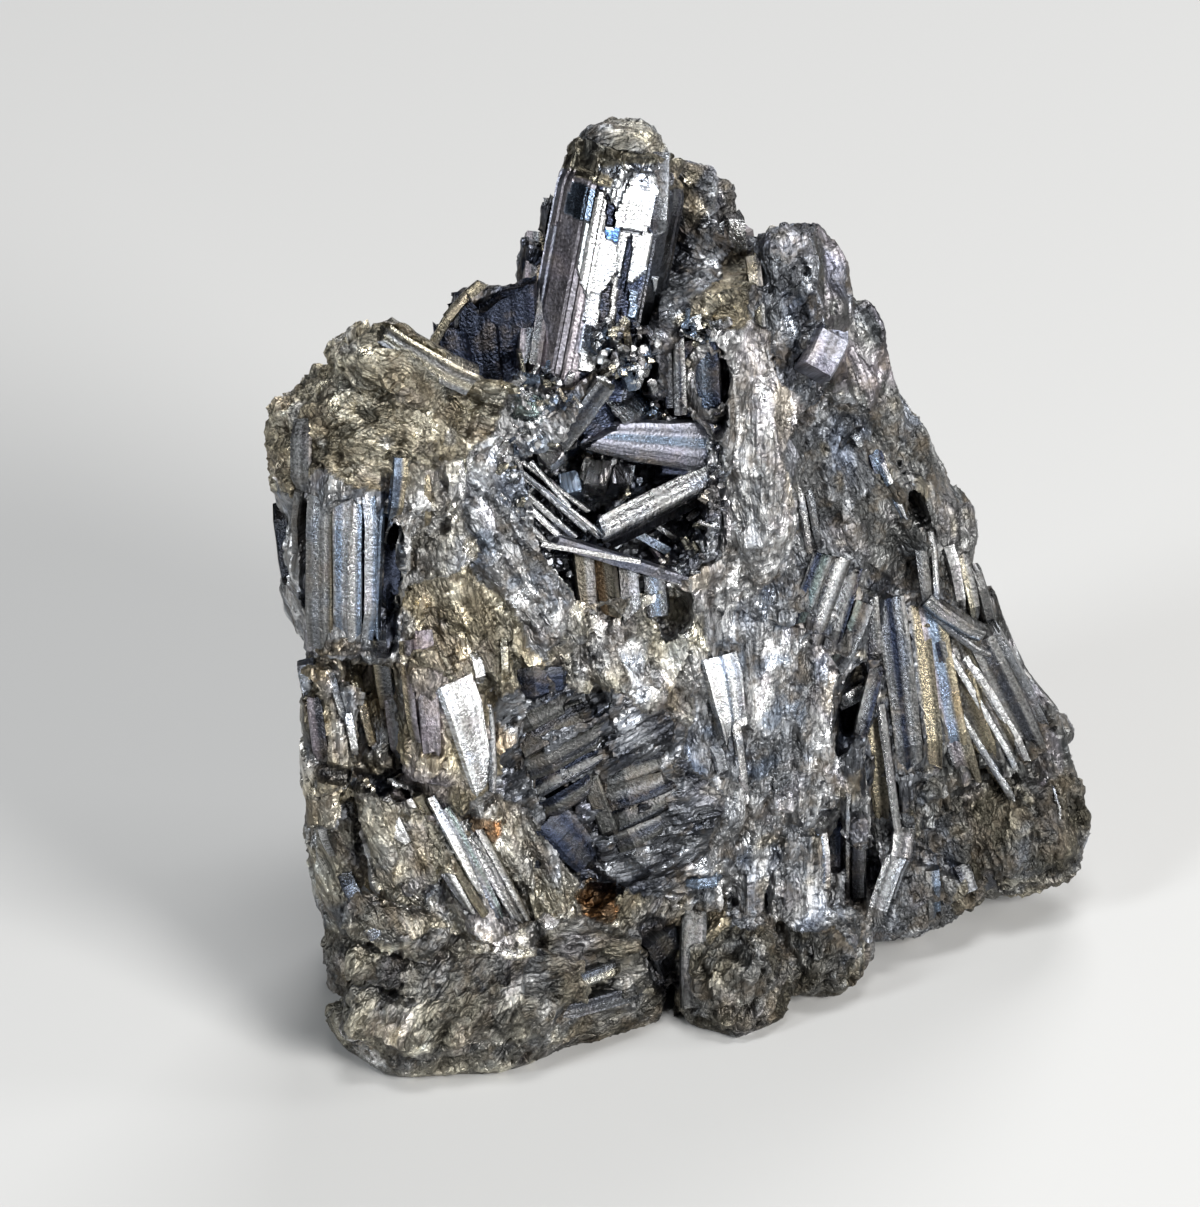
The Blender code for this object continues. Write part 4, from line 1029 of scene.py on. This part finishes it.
def add_block(gathering, shape, spot, normal, size, rng, tints):
    """Adds one small crystal, its foot at spot (in millimetres), leaning out of the skin."""
    lean = Vector([rng.gauss(0, 0.45) for _ in range(3)])
    along = (Vector(normal) * 0.6 + OUTWARD * 0.5 + UPWARD * 0.25 + lean).normalized()
    turn = along.to_track_quat("Z", "Y").to_matrix().to_4x4()
    turn @= Matrix.Rotation(rng.uniform(0, math.tau), 4, "Z")
    wide, long_now = size * rng.uniform(0.4, 1.1), size * rng.uniform(0.8, 2.0)
    scales = Matrix.Diagonal((wide * MM, wide * 0.8 * MM, long_now * MM, 1.0))
    middle = Vector(spot) + along * long_now * 0.2
    mesh = shape.copy()
    colour = lifted(rng.choice(tints), rng)
    gathering.add(mesh, Matrix.Translation(middle * MM) @ turn @ scales, colour, (wide, wide, long_now), spot)
    bpy.data.meshes.remove(mesh)


# ---- the big prism ----
# Its outline, going round: across and proud, and the tint of the face after the point. The dark faces of the
# right side and back, and the navy front, are painted shade.
PRISM_SECTION = (
    ((-6.2, -3.0), "mauve"),
    ((-6.2, 0.2), "lilac"),
    ((-5.2, 1.5), "mauve"),
    ((-2.0, 4.0), "navy"),
    ((1.2, 3.0), "navy"),
    ((4.4, 1.5), "dark"),
    ((5.7, 0.2), "dark"),
    ((6.8, -2.6), "dark"),
    ((4.0, -5.0), "dark"),
    ((-3.0, -5.0), "dark"),
)
PRISM_STRIPS = 14
PRISM_RINGS = 104
# Sheets on its faces: tint, how far proud, and corners (across, up) going round to the right. The white ones
# are painted highlights and the sunk navy ones painted shade.
PRISM_SHEETS = (
    ("mauve", 0.0, ((-10.2, 85.4), (-6.6, 85.4), (-8.4, 66.0), (-12.6, 66.0))),
    ("steel", 0.0, ((-6.4, 91.6), (2.4, 91.6), (2.0, 89.6), (-5.0, 86.0))),
    ("white", 0.30, ((-7.4, 85.4), (-4.0, 85.4), (-4.3, 80.5), (-6.0, 78.0), (-7.3, 77.8), (-8.4, 81.0))),
    ("white", 0.20, ((-7.3, 78.3), (-6.0, 78.3), (-6.3, 70.6), (-8.2, 70.6))),
    ("silver", 0.25, ((-6.2, 88.6), (-5.2, 88.2), (-5.4, 84.6), (-7.3, 85.0))),
    ("blue", 0.05, ((-9.1, 89.6), (-6.3, 88.5), (-7.1, 85.2), (-9.9, 86.4))),
    ("mauve", 0.2, ((-9.2, 91.0), (-8.3, 90.9), (-9.9, 85.6), (-11.0, 85.0))),
    ("navy", -0.3, ((-5.3, 88.0), (-4.5, 86.6), (-4.5, 85.0), (-5.4, 85.0))),
    ("white", 0.35, ((-2.7, 90.3), (-0.5, 90.1), (-0.1, 88.5), (-1.2, 84.5), (-4.5, 84.8), (-4.6, 86.0))),
    ("white", 0.20, ((-4.4, 84.5), (-0.8, 84.3), (-1.4, 80.5), (-2.8, 79.5), (-4.2, 80.0))),
    ("navy", -0.1, ((-3.3, 84.0), (-2.7, 84.0), (-3.5, 78.5), (-4.1, 78.5))),
    ("white", 0.1, ((-3.6, 91.4), (-3.1, 91.4), (-4.8, 87.2), (-5.2, 87.2))),
    ("silver", 0.1, ((-4.8, 80.0), (-4.2, 80.0), (-4.7, 74.0), (-5.3, 74.0))),
    ("blue", 0.1, ((-3.1, 78.7), (-2.2, 78.5), (-2.4, 76.0), (-3.3, 76.0))),
    ("white", 0.2, ((-0.9, 80.0), (-0.2, 80.0), (-0.1, 77.8), (-0.4, 77.8))),
    ("azure", 0.35, ((-5.6, 84.9), (-4.0, 84.7), (-4.2, 83.3), (-5.4, 83.6))),
    ("earth", 0.1, ((-9.6, 94.0), (3.0, 94.0), (2.6, 91.4), (-9.2, 90.6))),
    ("gold", 0.15, ((-8.2, 91.0), (-4.8, 89.7), (-5.0, 88.8), (-8.4, 89.8))),
)


def inside_all(corners, across, up):
    """Which points lie inside the outline, whose corners go round to the right."""
    inside = np.ones(len(across), bool)
    for (x, y), (next_x, next_y) in zip(corners, corners[1:] + corners[:1]):
        inside &= (next_x - x) * (up - y) - (next_y - y) * (across - x) <= 0
    return inside


def prism_point(strip, level, length, size):
    """A point of the prism's skin, before its sheets: across, proud and along."""
    side, share = divmod(strip, PRISM_STRIPS)
    start, end = PRISM_SECTION[side][0], PRISM_SECTION[(side + 1) % len(PRISM_SECTION)][0]
    spot = Vector(start).lerp(Vector(end), share / PRISM_STRIPS)
    size -= 3.0 * max(0.0, level - 0.84) ** 1.5
    return Vector((-spot.x * size, spot.y * size, level * length))


def prism_strips(rng, count):
    """Depth of the groove, and lightness, of each strip: often the same as the last one's."""
    grooves, lifts = [0.0], [1.0]
    for _ in range(count - 1):
        same = rng.random() < 0.55
        grooves.append(grooves[-1] if same else rng.choice((0, 0.008, 0.016, 0.03)))
        lifts.append(lifts[-1] if same else rng.choice((0.62, 0.85, 1.0, 1.1, 1.2)))
    return grooves, lifts


def prism_skin(bm, strips, grooves, length):
    """Where each point of the prism lies, with its uneven cap, and its tint."""
    local, tints = [], []
    for vert, strip in zip(bm.verts, strips):
        spot = prism_point(strip, vert.co.z + 0.5, length, 0.985 - grooves[strip])
        cap = max(0.0, vert.co.z - 0.36)
        spot += noise.noise_vector(spot * 0.9) * min(0.9, 9.0 * cap)
        # The dark faces of the right side and back and the navy front are painted shade.
        tint = PRISM_SECTION[strip // PRISM_STRIPS][1] if cap < 0.04 else "earth"
        tints.append((*TINTS[tint], shine(tint, 0.75)))
        local.append(tuple(spot))
    return np.array(local), np.array(tints)


def lay_sheets(local, tints, frame_now):
    """Tints the points that lie under a sheet, and gives how far each point is raised."""
    world = np.concatenate([local, np.ones((len(local), 1))], 1) @ np.array(frame_now).T / MM
    across, up, _ = face_places(world[:, :3])
    raised = np.zeros(len(local))
    for tint, proud, corners in PRISM_SHEETS:
        sheet = inside_all(corners, across, up) & (local[:, 1] > 0)
        # White sheets are painted highlights, sunk navy ones painted shade.
        tints[sheet] = (*TINTS[tint], shine(tint, 0.8))
        raised[sheet] = proud
    return raised


def make_prism(material):
    """The big blunt prism at the top, with thin sheets lying on its flat faces: the white ones painted
    highlights, the sunk navy ones painted shade.
    """
    foot, tip = front(*PRISM[0]), front(*PRISM[1])
    length = (tip - foot).length / MM
    count = len(PRISM_SECTION) * PRISM_STRIPS
    grooves, lifts = prism_strips(random.Random(PRISM_SEED), count)
    bm = tube(count, PRISM_RINGS)
    strips = [strip_of(vert, count) for vert in bm.verts]
    noise.seed_set(CAP_SEED)
    local, tints = prism_skin(bm, strips, grooves, length)
    frame_now = blade_frame(foot, tip, OUTWARD, 0) @ Matrix.Scale(MM, 4)
    raised = lay_sheets(local, tints, frame_now)
    for vert, strip, spot, tint, proud in zip(bm.verts, strips, local, tints, raised):
        strength = 1.0 if tint[3] > 0.5 else 0.3
        tint[:3] *= 1 + strength * (lifts[strip] - 1)
        vert.co = Vector((spot[0], spot[1] + proud, spot[2]))
    bmesh.ops.recalc_face_normals(bm, faces=bm.faces)
    bmesh.ops.triangulate(bm, faces=[face for face in bm.faces if len(face.verts) > 4])
    mesh = as_mesh(bm, "crown_prism")
    write_layers(mesh, np.minimum(tints, LIGHTEST), local)
    mesh.transform(frame_now)
    return show("crown_prism", mesh, material)


# ---- the hollow ----
def make_lining(material):
    """The crust of the hollow: the solid's own shape, broken into small blocks."""
    mesh = remeshed("hollow_crystals", LINING_VOXEL)
    points, normals = points_of(mesh)
    centres, inside = cells(points / LINING_BLOCK)
    key = hashed(centres[:, 0], centres[:, 1], centres[:, 2])
    shift = 0.55 * key - 0.45 - 0.25 * np.clip(1 - inside / 0.15, 0, 1) + 0.12 * wave(points, 0.8, 9)
    mesh.vertices.foreach_set("co", ((points + normals * shift[:, None]) * MM).ravel())
    colour = np.where(key[:, None] < 0.45, np.array(TINTS["steel"]), np.array(TINTS["dark"]))
    tints = np.concatenate([colour * (0.8 + 0.9 * key[:, None]), hashed(key)[:, None]], 1)
    write_layers(mesh, tints, points, 1.0)
    lining = show("hollow_lining", mesh, material)
    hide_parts("hollow_crystals")
    return lining


def make_hollow_crystals(skin, material):
    """The larger crystals that cross the hollow, and the many small ones in and round it."""
    rng = random.Random(HOLLOW_SEED)
    gathering = Gathering()
    foot, tip, width, thickness, roll, tints, seed, taper = SLAB
    sizes = width, thickness
    slab = Blade(front(*foot), front(*tip), *sizes, OUTWARD, roll, tints, 1, seed, taper)
    for blade in [slab] + single_blades(CRUST_BLADES, CRUST_SEED):
        add_blade(gathering, blade, rng)

    def inner(middles, normals):
        return (normals @ np.array(OUTWARD) > -0.2) * 1.0

    spots, normals = skin_samples("hollow_crystals", HOLLOW_COUNT, HOLLOW_SEED, inner)
    shapes = small_shapes()
    for spot, normal in zip(spots, normals):
        add_block(gathering, rng.choice(shapes), spot, normal, CRUST_SIZE, rng, CRUST_TINTS)
    for centre, reach, number, size in CLUSTERS:
        for _ in range(number):
            away, turn = math.sqrt(rng.random()), rng.uniform(0, math.tau)
            across = centre[0] + reach[0] * away * math.cos(turn)
            up = centre[1] + reach[1] * away * math.sin(turn)
            proud, normal = skin.met(across, up)
            spot = front(across, up, proud) / MM
            add_block(gathering, rng.choice(shapes), spot, normal, size, rng, CLUSTER_TINTS)
    for mesh in shapes:
        bpy.data.meshes.remove(mesh)
    return gathering.finish("hollow_blades", material)


# ---- materials ----
class Wiring:
    """Adds nodes to a tree, each fed from the sockets it is given."""

    def __init__(self, tree):
        self.nodes, self.links = tree.nodes, tree.links

    def add(self, kind, settings=None, **inputs):
        node = self.nodes.new("ShaderNode" + kind)
        for key, value in (settings or {}).items():
            setattr(node, key, value)
        for key, value in inputs.items():
            socket = node.inputs[int(key[1:]) if key[1:].isdigit() else key.replace("_", " ")]
            if isinstance(value, bpy.types.NodeSocket):
                self.links.new(value, socket)
            else:
                socket.default_value = value
        return node

    def worked(self, operation, *values, clamp=False):
        """One sum or product, of two or three values."""
        inputs = {f"_{index}": value for index, value in enumerate(values)}
        settings = {"operation": operation, "use_clamp": clamp}
        return self.add("Math", settings, **inputs).outputs[0]

    def attribute(self, name, output):
        """Something that is kept on the points of the mesh."""
        return self.add("Attribute", {"attribute_name": name}).outputs[output]

    def stretched(self, where, size):
        """The place where a pattern is read, with this many waves to the millimetre each way."""
        return self.add("Mapping", {"vector_type": "POINT"}, Vector=where, Scale=size).outputs[0]

    def noise(self, where, scale, stretch=(1, 1, 1), detail=2.0, roughness=0.5):
        """Noise of this many waves to the millimetre, stretched."""
        spot = self.stretched(where, tuple(scale * axis for axis in stretch))
        looks = {"Scale": 1.0, "Detail": detail, "Roughness": roughness}
        return self.add("TexNoise", None, Vector=spot, **looks).outputs[0]

    def ranged(self, value, low, high, first, last):
        """The value, turned from one range to another and kept inside it."""
        ends = {"From_Min": low, "From_Max": high, "To_Min": first, "To_Max": last}
        return self.add("MapRange", None, Value=value, **ends).outputs["Result"]


# Tarnish: place and colour of the first and last stop, then of those between.
TARNISH = (
    (0.30, (0.88, 0.95, 1.09, 1)),
    (0.72, (1.09, 1.0, 0.88, 1)),
    (0.43, (1, 1, 1, 1)),
    (0.56, (1, 1, 1, 1)),
    (0.64, (1.02, 0.985, 1.02, 1)),
)
DUST_COLOUR = (0.16, 0.13, 0.095, 1)
LINE_BUMP = 0.00018
RUBBLE_BUMP = 0.00045


def group_tree():
    """An empty node group with the sockets of the shared look."""
    tree = bpy.data.node_groups.new("stibnite_surface", "ShaderNodeTree")
    for name in ("Lines", "Crumple", "Smoothest", "Roughest", "Dust"):
        tree.interface.new_socket(name=name, in_out="INPUT", socket_type="NodeSocketFloat")
    for name, kind in (("Colour", "Color"), ("Roughness", "Float"), ("Normal", "Vector")):
        tree.interface.new_socket(name=name, in_out="OUTPUT", socket_type="NodeSocket" + kind)
    return tree


def tarnished(wiring, grain):
    """The tint of the points, a little bluer or browner in wide patches."""
    ramp = wiring.add("ValToRGB", None, Fac=wiring.noise(grain, 0.16, (1.4, 0.7, 1), 2.0))
    stops = ramp.color_ramp.elements
    for index, (spot, colour) in enumerate(TARNISH):
        stop = stops[index] if index < 2 else stops.new(spot)
        stop.position, stop.color = spot, colour
    tint = wiring.attribute("tint", "Color")
    multiply = {"data_type": "RGBA", "blend_type": "MULTIPLY"}
    return wiring.add("Mix", multiply, _0=1.0, _6=tint, _7=ramp.outputs[0]).outputs[2]


def folded(wiring, grain):
    """Creases that swirl along the grain: 0 in a crease, 1 away from it."""
    swirl = wiring.add("TexNoise", None, Vector=grain, Scale=0.9, Detail=2.0).outputs[1]
    bend = {"operation": "MULTIPLY_ADD"}
    bent = wiring.add("VectorMath", bend, _0=swirl, _1=(0.9, 0.9, 0.9), _2=grain).outputs[0]
    spot = wiring.stretched(bent, (1.5, 0.5, 1.5))
    cracks = wiring.add("TexVoronoi", {"feature": "DISTANCE_TO_EDGE"}, Vector=spot, Scale=1.0)
    return wiring.ranged(cracks.outputs[0], 0.0, 0.2, 0.0, 1.0)


def painted_fold_shade(wiring, fold, patches, rugged):
    """Painted shade in and beside the folds, which come in patches: how light the surface is there."""
    here = wiring.ranged(patches, 0.38, 0.6, 0.15, 1.0)
    crease = wiring.worked("MULTIPLY", wiring.worked("SUBTRACT", 1.0, fold), here)
    crease = wiring.worked("MULTIPLY", crease, rugged)
    return wiring.ranged(crease, 0.0, 1.0, 1.0, 0.5)


def shaded(wiring, grain, lines, fold_shade, dust):
    """The colour: painted shade in the grooves of the lines and in the folds, painted light on the ridges of
    the lines, and brown dust over it.
    """
    # Painted light and shade that follow the relief of the lines, then painted shade in the folds.
    shade = wiring.ranged(lines, 0.36, 0.64, 0.55, 1.26)
    shade = wiring.worked("MULTIPLY", shade, fold_shade)
    tint = tarnished(wiring, grain)
    dark = wiring.add("VectorMath", {"operation": "SCALE"}, _0=tint, Scale=shade).outputs[0]
    return wiring.add("Mix", {"data_type": "RGBA"}, _0=dust, _6=dark, _7=DUST_COLOUR).outputs[2]


def roughened(wiring, given, polish, patches, dust):
    """The roughness: less where polished, uneven in patches, more under dust."""
    dull = wiring.worked("MULTIPLY_ADD", polish, -0.55, patches)
    rough = wiring.ranged(dull, -0.1, 0.6, given["Smoothest"], given["Roughest"])
    return wiring.worked("MULTIPLY_ADD", dust, 0.3, rough, clamp=True)


def bumped(wiring, given, grain, lines, fold, rugged):
    """The fine relief: lines along the grain, then rubble over them."""
    crumple = wiring.noise(grain, 2.6, (1, 0.4, 1), 4.0, 0.62)
    rubble = wiring.worked("MULTIPLY_ADD", fold, 0.35, crumple)
    lined = wiring.add("Bump", None, Strength=given["Lines"], Distance=LINE_BUMP, Height=lines)
    looks = {"Strength": rugged, "Distance": RUBBLE_BUMP, "Height": rubble}
    return wiring.add("Bump", None, Normal=lined.outputs[0], **looks).outputs[0]


def surface_group():
    """Shared look of stibnite: tint with painted light and shade in its lines and folds, roughness and fine
    relief that vary over the surface.
    """
    tree = group_tree()
    wiring = Wiring(tree)
    given = tree.nodes.new("NodeGroupInput").outputs
    wanted = tree.nodes.new("NodeGroupOutput").inputs
    grain = wiring.attribute("grain", "Vector")
    polish = wiring.attribute("tint", "Alpha")
    lines = wiring.noise(grain, 3.4, (1, 0.02, 1), 3.0, 0.6)
    patches = wiring.noise(grain, 0.55, (1, 0.6, 1), 3.0)
    fold = folded(wiring, grain)
    rugged = wiring.ranged(polish, 0.1, 0.9, 1.0, 0.4)
    rugged = wiring.worked("MULTIPLY", rugged, wiring.attribute("crumple", "Fac"))
    rugged = wiring.worked("MULTIPLY", rugged, given["Crumple"])
    dust = wiring.ranged(wiring.noise(grain, 0.3, (1, 1, 1), 4.0, 0.65), 0.50, 0.66, 0.0, 1.0)
    dust = wiring.worked("MULTIPLY", dust, given["Dust"])
    fold_shade = painted_fold_shade(wiring, fold, patches, rugged)
    parts = {
        "Colour": shaded(wiring, grain, lines, fold_shade, dust),
        "Roughness": roughened(wiring, given, polish, patches, dust),
        "Normal": bumped(wiring, given, grain, lines, fold, rugged),
    }
    for name, part in parts.items():
        wiring.links.new(part, wanted[name])
    return tree


def stibnite(name, group, lines, crumple, smoothest, roughest, dust):
    """A material of the shared look, from polished blade to broken rubble."""
    made = bpy.data.materials.new(name)
    made.use_nodes = True
    nodes, links = made.node_tree.nodes, made.node_tree.links
    shader = nodes["Principled BSDF"]
    shader.inputs["Metallic"].default_value = 1.0
    look = nodes.new("ShaderNodeGroup")
    look.node_tree = group
    values = {"Lines": lines, "Crumple": crumple, "Dust": dust}
    values.update(Smoothest=smoothest, Roughest=roughest)
    for key, value in values.items():
        look.inputs[key].default_value = value
    links.new(look.outputs["Colour"], shader.inputs["Base Color"])
    links.new(look.outputs["Roughness"], shader.inputs["Roughness"])
    links.new(look.outputs["Normal"], shader.inputs["Normal"])
    return made


# ---- camera, floor and light ----
def look_at(thing, spot, target):
    """Places a camera or a light, turned to its target."""
    thing.location = spot
    thing.rotation_mode = "QUATERNION"
    thing.rotation_quaternion = (Vector(target) - Vector(spot)).to_track_quat("-Z", "Y")


def make_camera():
    """The view of the front, along the sight lines and from far enough to be nearly flat."""
    data = bpy.data.cameras.new("camera")
    camera = bpy.data.objects.new("camera", data)
    bpy.context.scene.collection.objects.link(camera)
    sine, cosine = math.sin(SIGHT_SLOPE), math.cos(SIGHT_SLOPE)
    across, up, out = VIEW_CENTRE
    target = place((across, up * sine - out * cosine, up * cosine + out * sine))
    look_at(camera, target + OUTWARD * VIEW_DISTANCE, target)
    data.sensor_width = SENSOR
    data.lens = SENSOR * VIEW_DISTANCE / VIEW_HEIGHT
    data.clip_start = 0.01
    data.clip_end = 20.0
    bpy.context.scene.camera = camera


def soft_light(name, azimuth, elevation, distance, size, power, colour):
    """A soft box this far round to the right of the front, and this far up, in degrees."""
    data = bpy.data.lights.new(name, "AREA")
    data.shape = "RECTANGLE"
    data.size, data.size_y = size
    data.energy = power
    data.color = colour
    lamp = bpy.data.objects.new(name, data)
    bpy.context.scene.collection.objects.link(lamp)
    turn, rise = math.radians(azimuth), math.radians(elevation)
    flat = math.cos(rise) * distance
    height = math.sin(rise) * distance + LIT_HEIGHT
    look_at(lamp, (flat * math.sin(turn), -flat * math.cos(turn), height), (0, 0, LIT_HEIGHT))


def make_stage():
    """A wide pale floor just under the base, a nearly dark world, and the lights."""
    bm = bmesh.new()
    bmesh.ops.create_grid(bm, x_segments=1, y_segments=1, size=6.0)
    mesh = as_mesh(bm, "floor")
    material = bpy.data.materials.new("floor")
    material.use_nodes = True
    shader = material.node_tree.nodes["Principled BSDF"]
    shader.inputs["Base Color"].default_value = (0.50, 0.50, 0.495, 1)
    shader.inputs["Roughness"].default_value = 0.7
    floor = show("floor", mesh, material)
    floor.location.z = -0.00002
    world = bpy.data.worlds.new("world")
    world.use_nodes = True
    world.node_tree.nodes["Background"].inputs["Color"].default_value = (0.03, 0.031, 0.034, 1)
    bpy.context.scene.world = world
    for name, settings in LIGHTS.items():
        soft_light(name, *settings)


# ---- assembly ----
def main():
    group = surface_group()
    polished = stibnite("stibnite_blades", group, 1.0, 0.05, 0.16, 0.40, 0.3)
    broken = stibnite("stibnite_broken", group, 0.5, 0.85, 0.2, 0.5, 0.5)
    calm = stibnite("stibnite_prism", group, 0.35, 0.03, 0.14, 0.40, 0.15)
    lining = stibnite("stibnite_lining", group, 0.4, 0.3, 0.2, 0.42, 0.2)

    skin = Skin(("stibnite_cluster", "hollow_crystals"))
    upright = single_blades(SHOULDER_PLATES, 0) + blades_of_rows()
    crisp = upright + laid_blades(LAID, skin)
    prism_room = (front(*PRISM[0]), front(*PRISM[1]), *PRISM_ROOM[:2], OUTWARD, PRISM_ROOM[2])

    pieces = make_mass(crisp, prism_room, broken)
    for part in pieces:
        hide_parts("stibnite_cluster")
    pieces.append(make_prism(calm))

    rng = random.Random(BLADES_SEED)
    gathering = Gathering()
    for blade in crisp:
        add_blade(gathering, blade, rng)
    pieces.append(gathering.finish("stibnite_blades", polished))
    pieces.append(make_lining(lining))
    pieces.append(make_hollow_crystals(skin, polished))

    for piece in pieces:
        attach(piece, "root")
    make_camera()
    make_stage()
    bpy.context.scene.view_settings.view_transform = "Standard"


main()
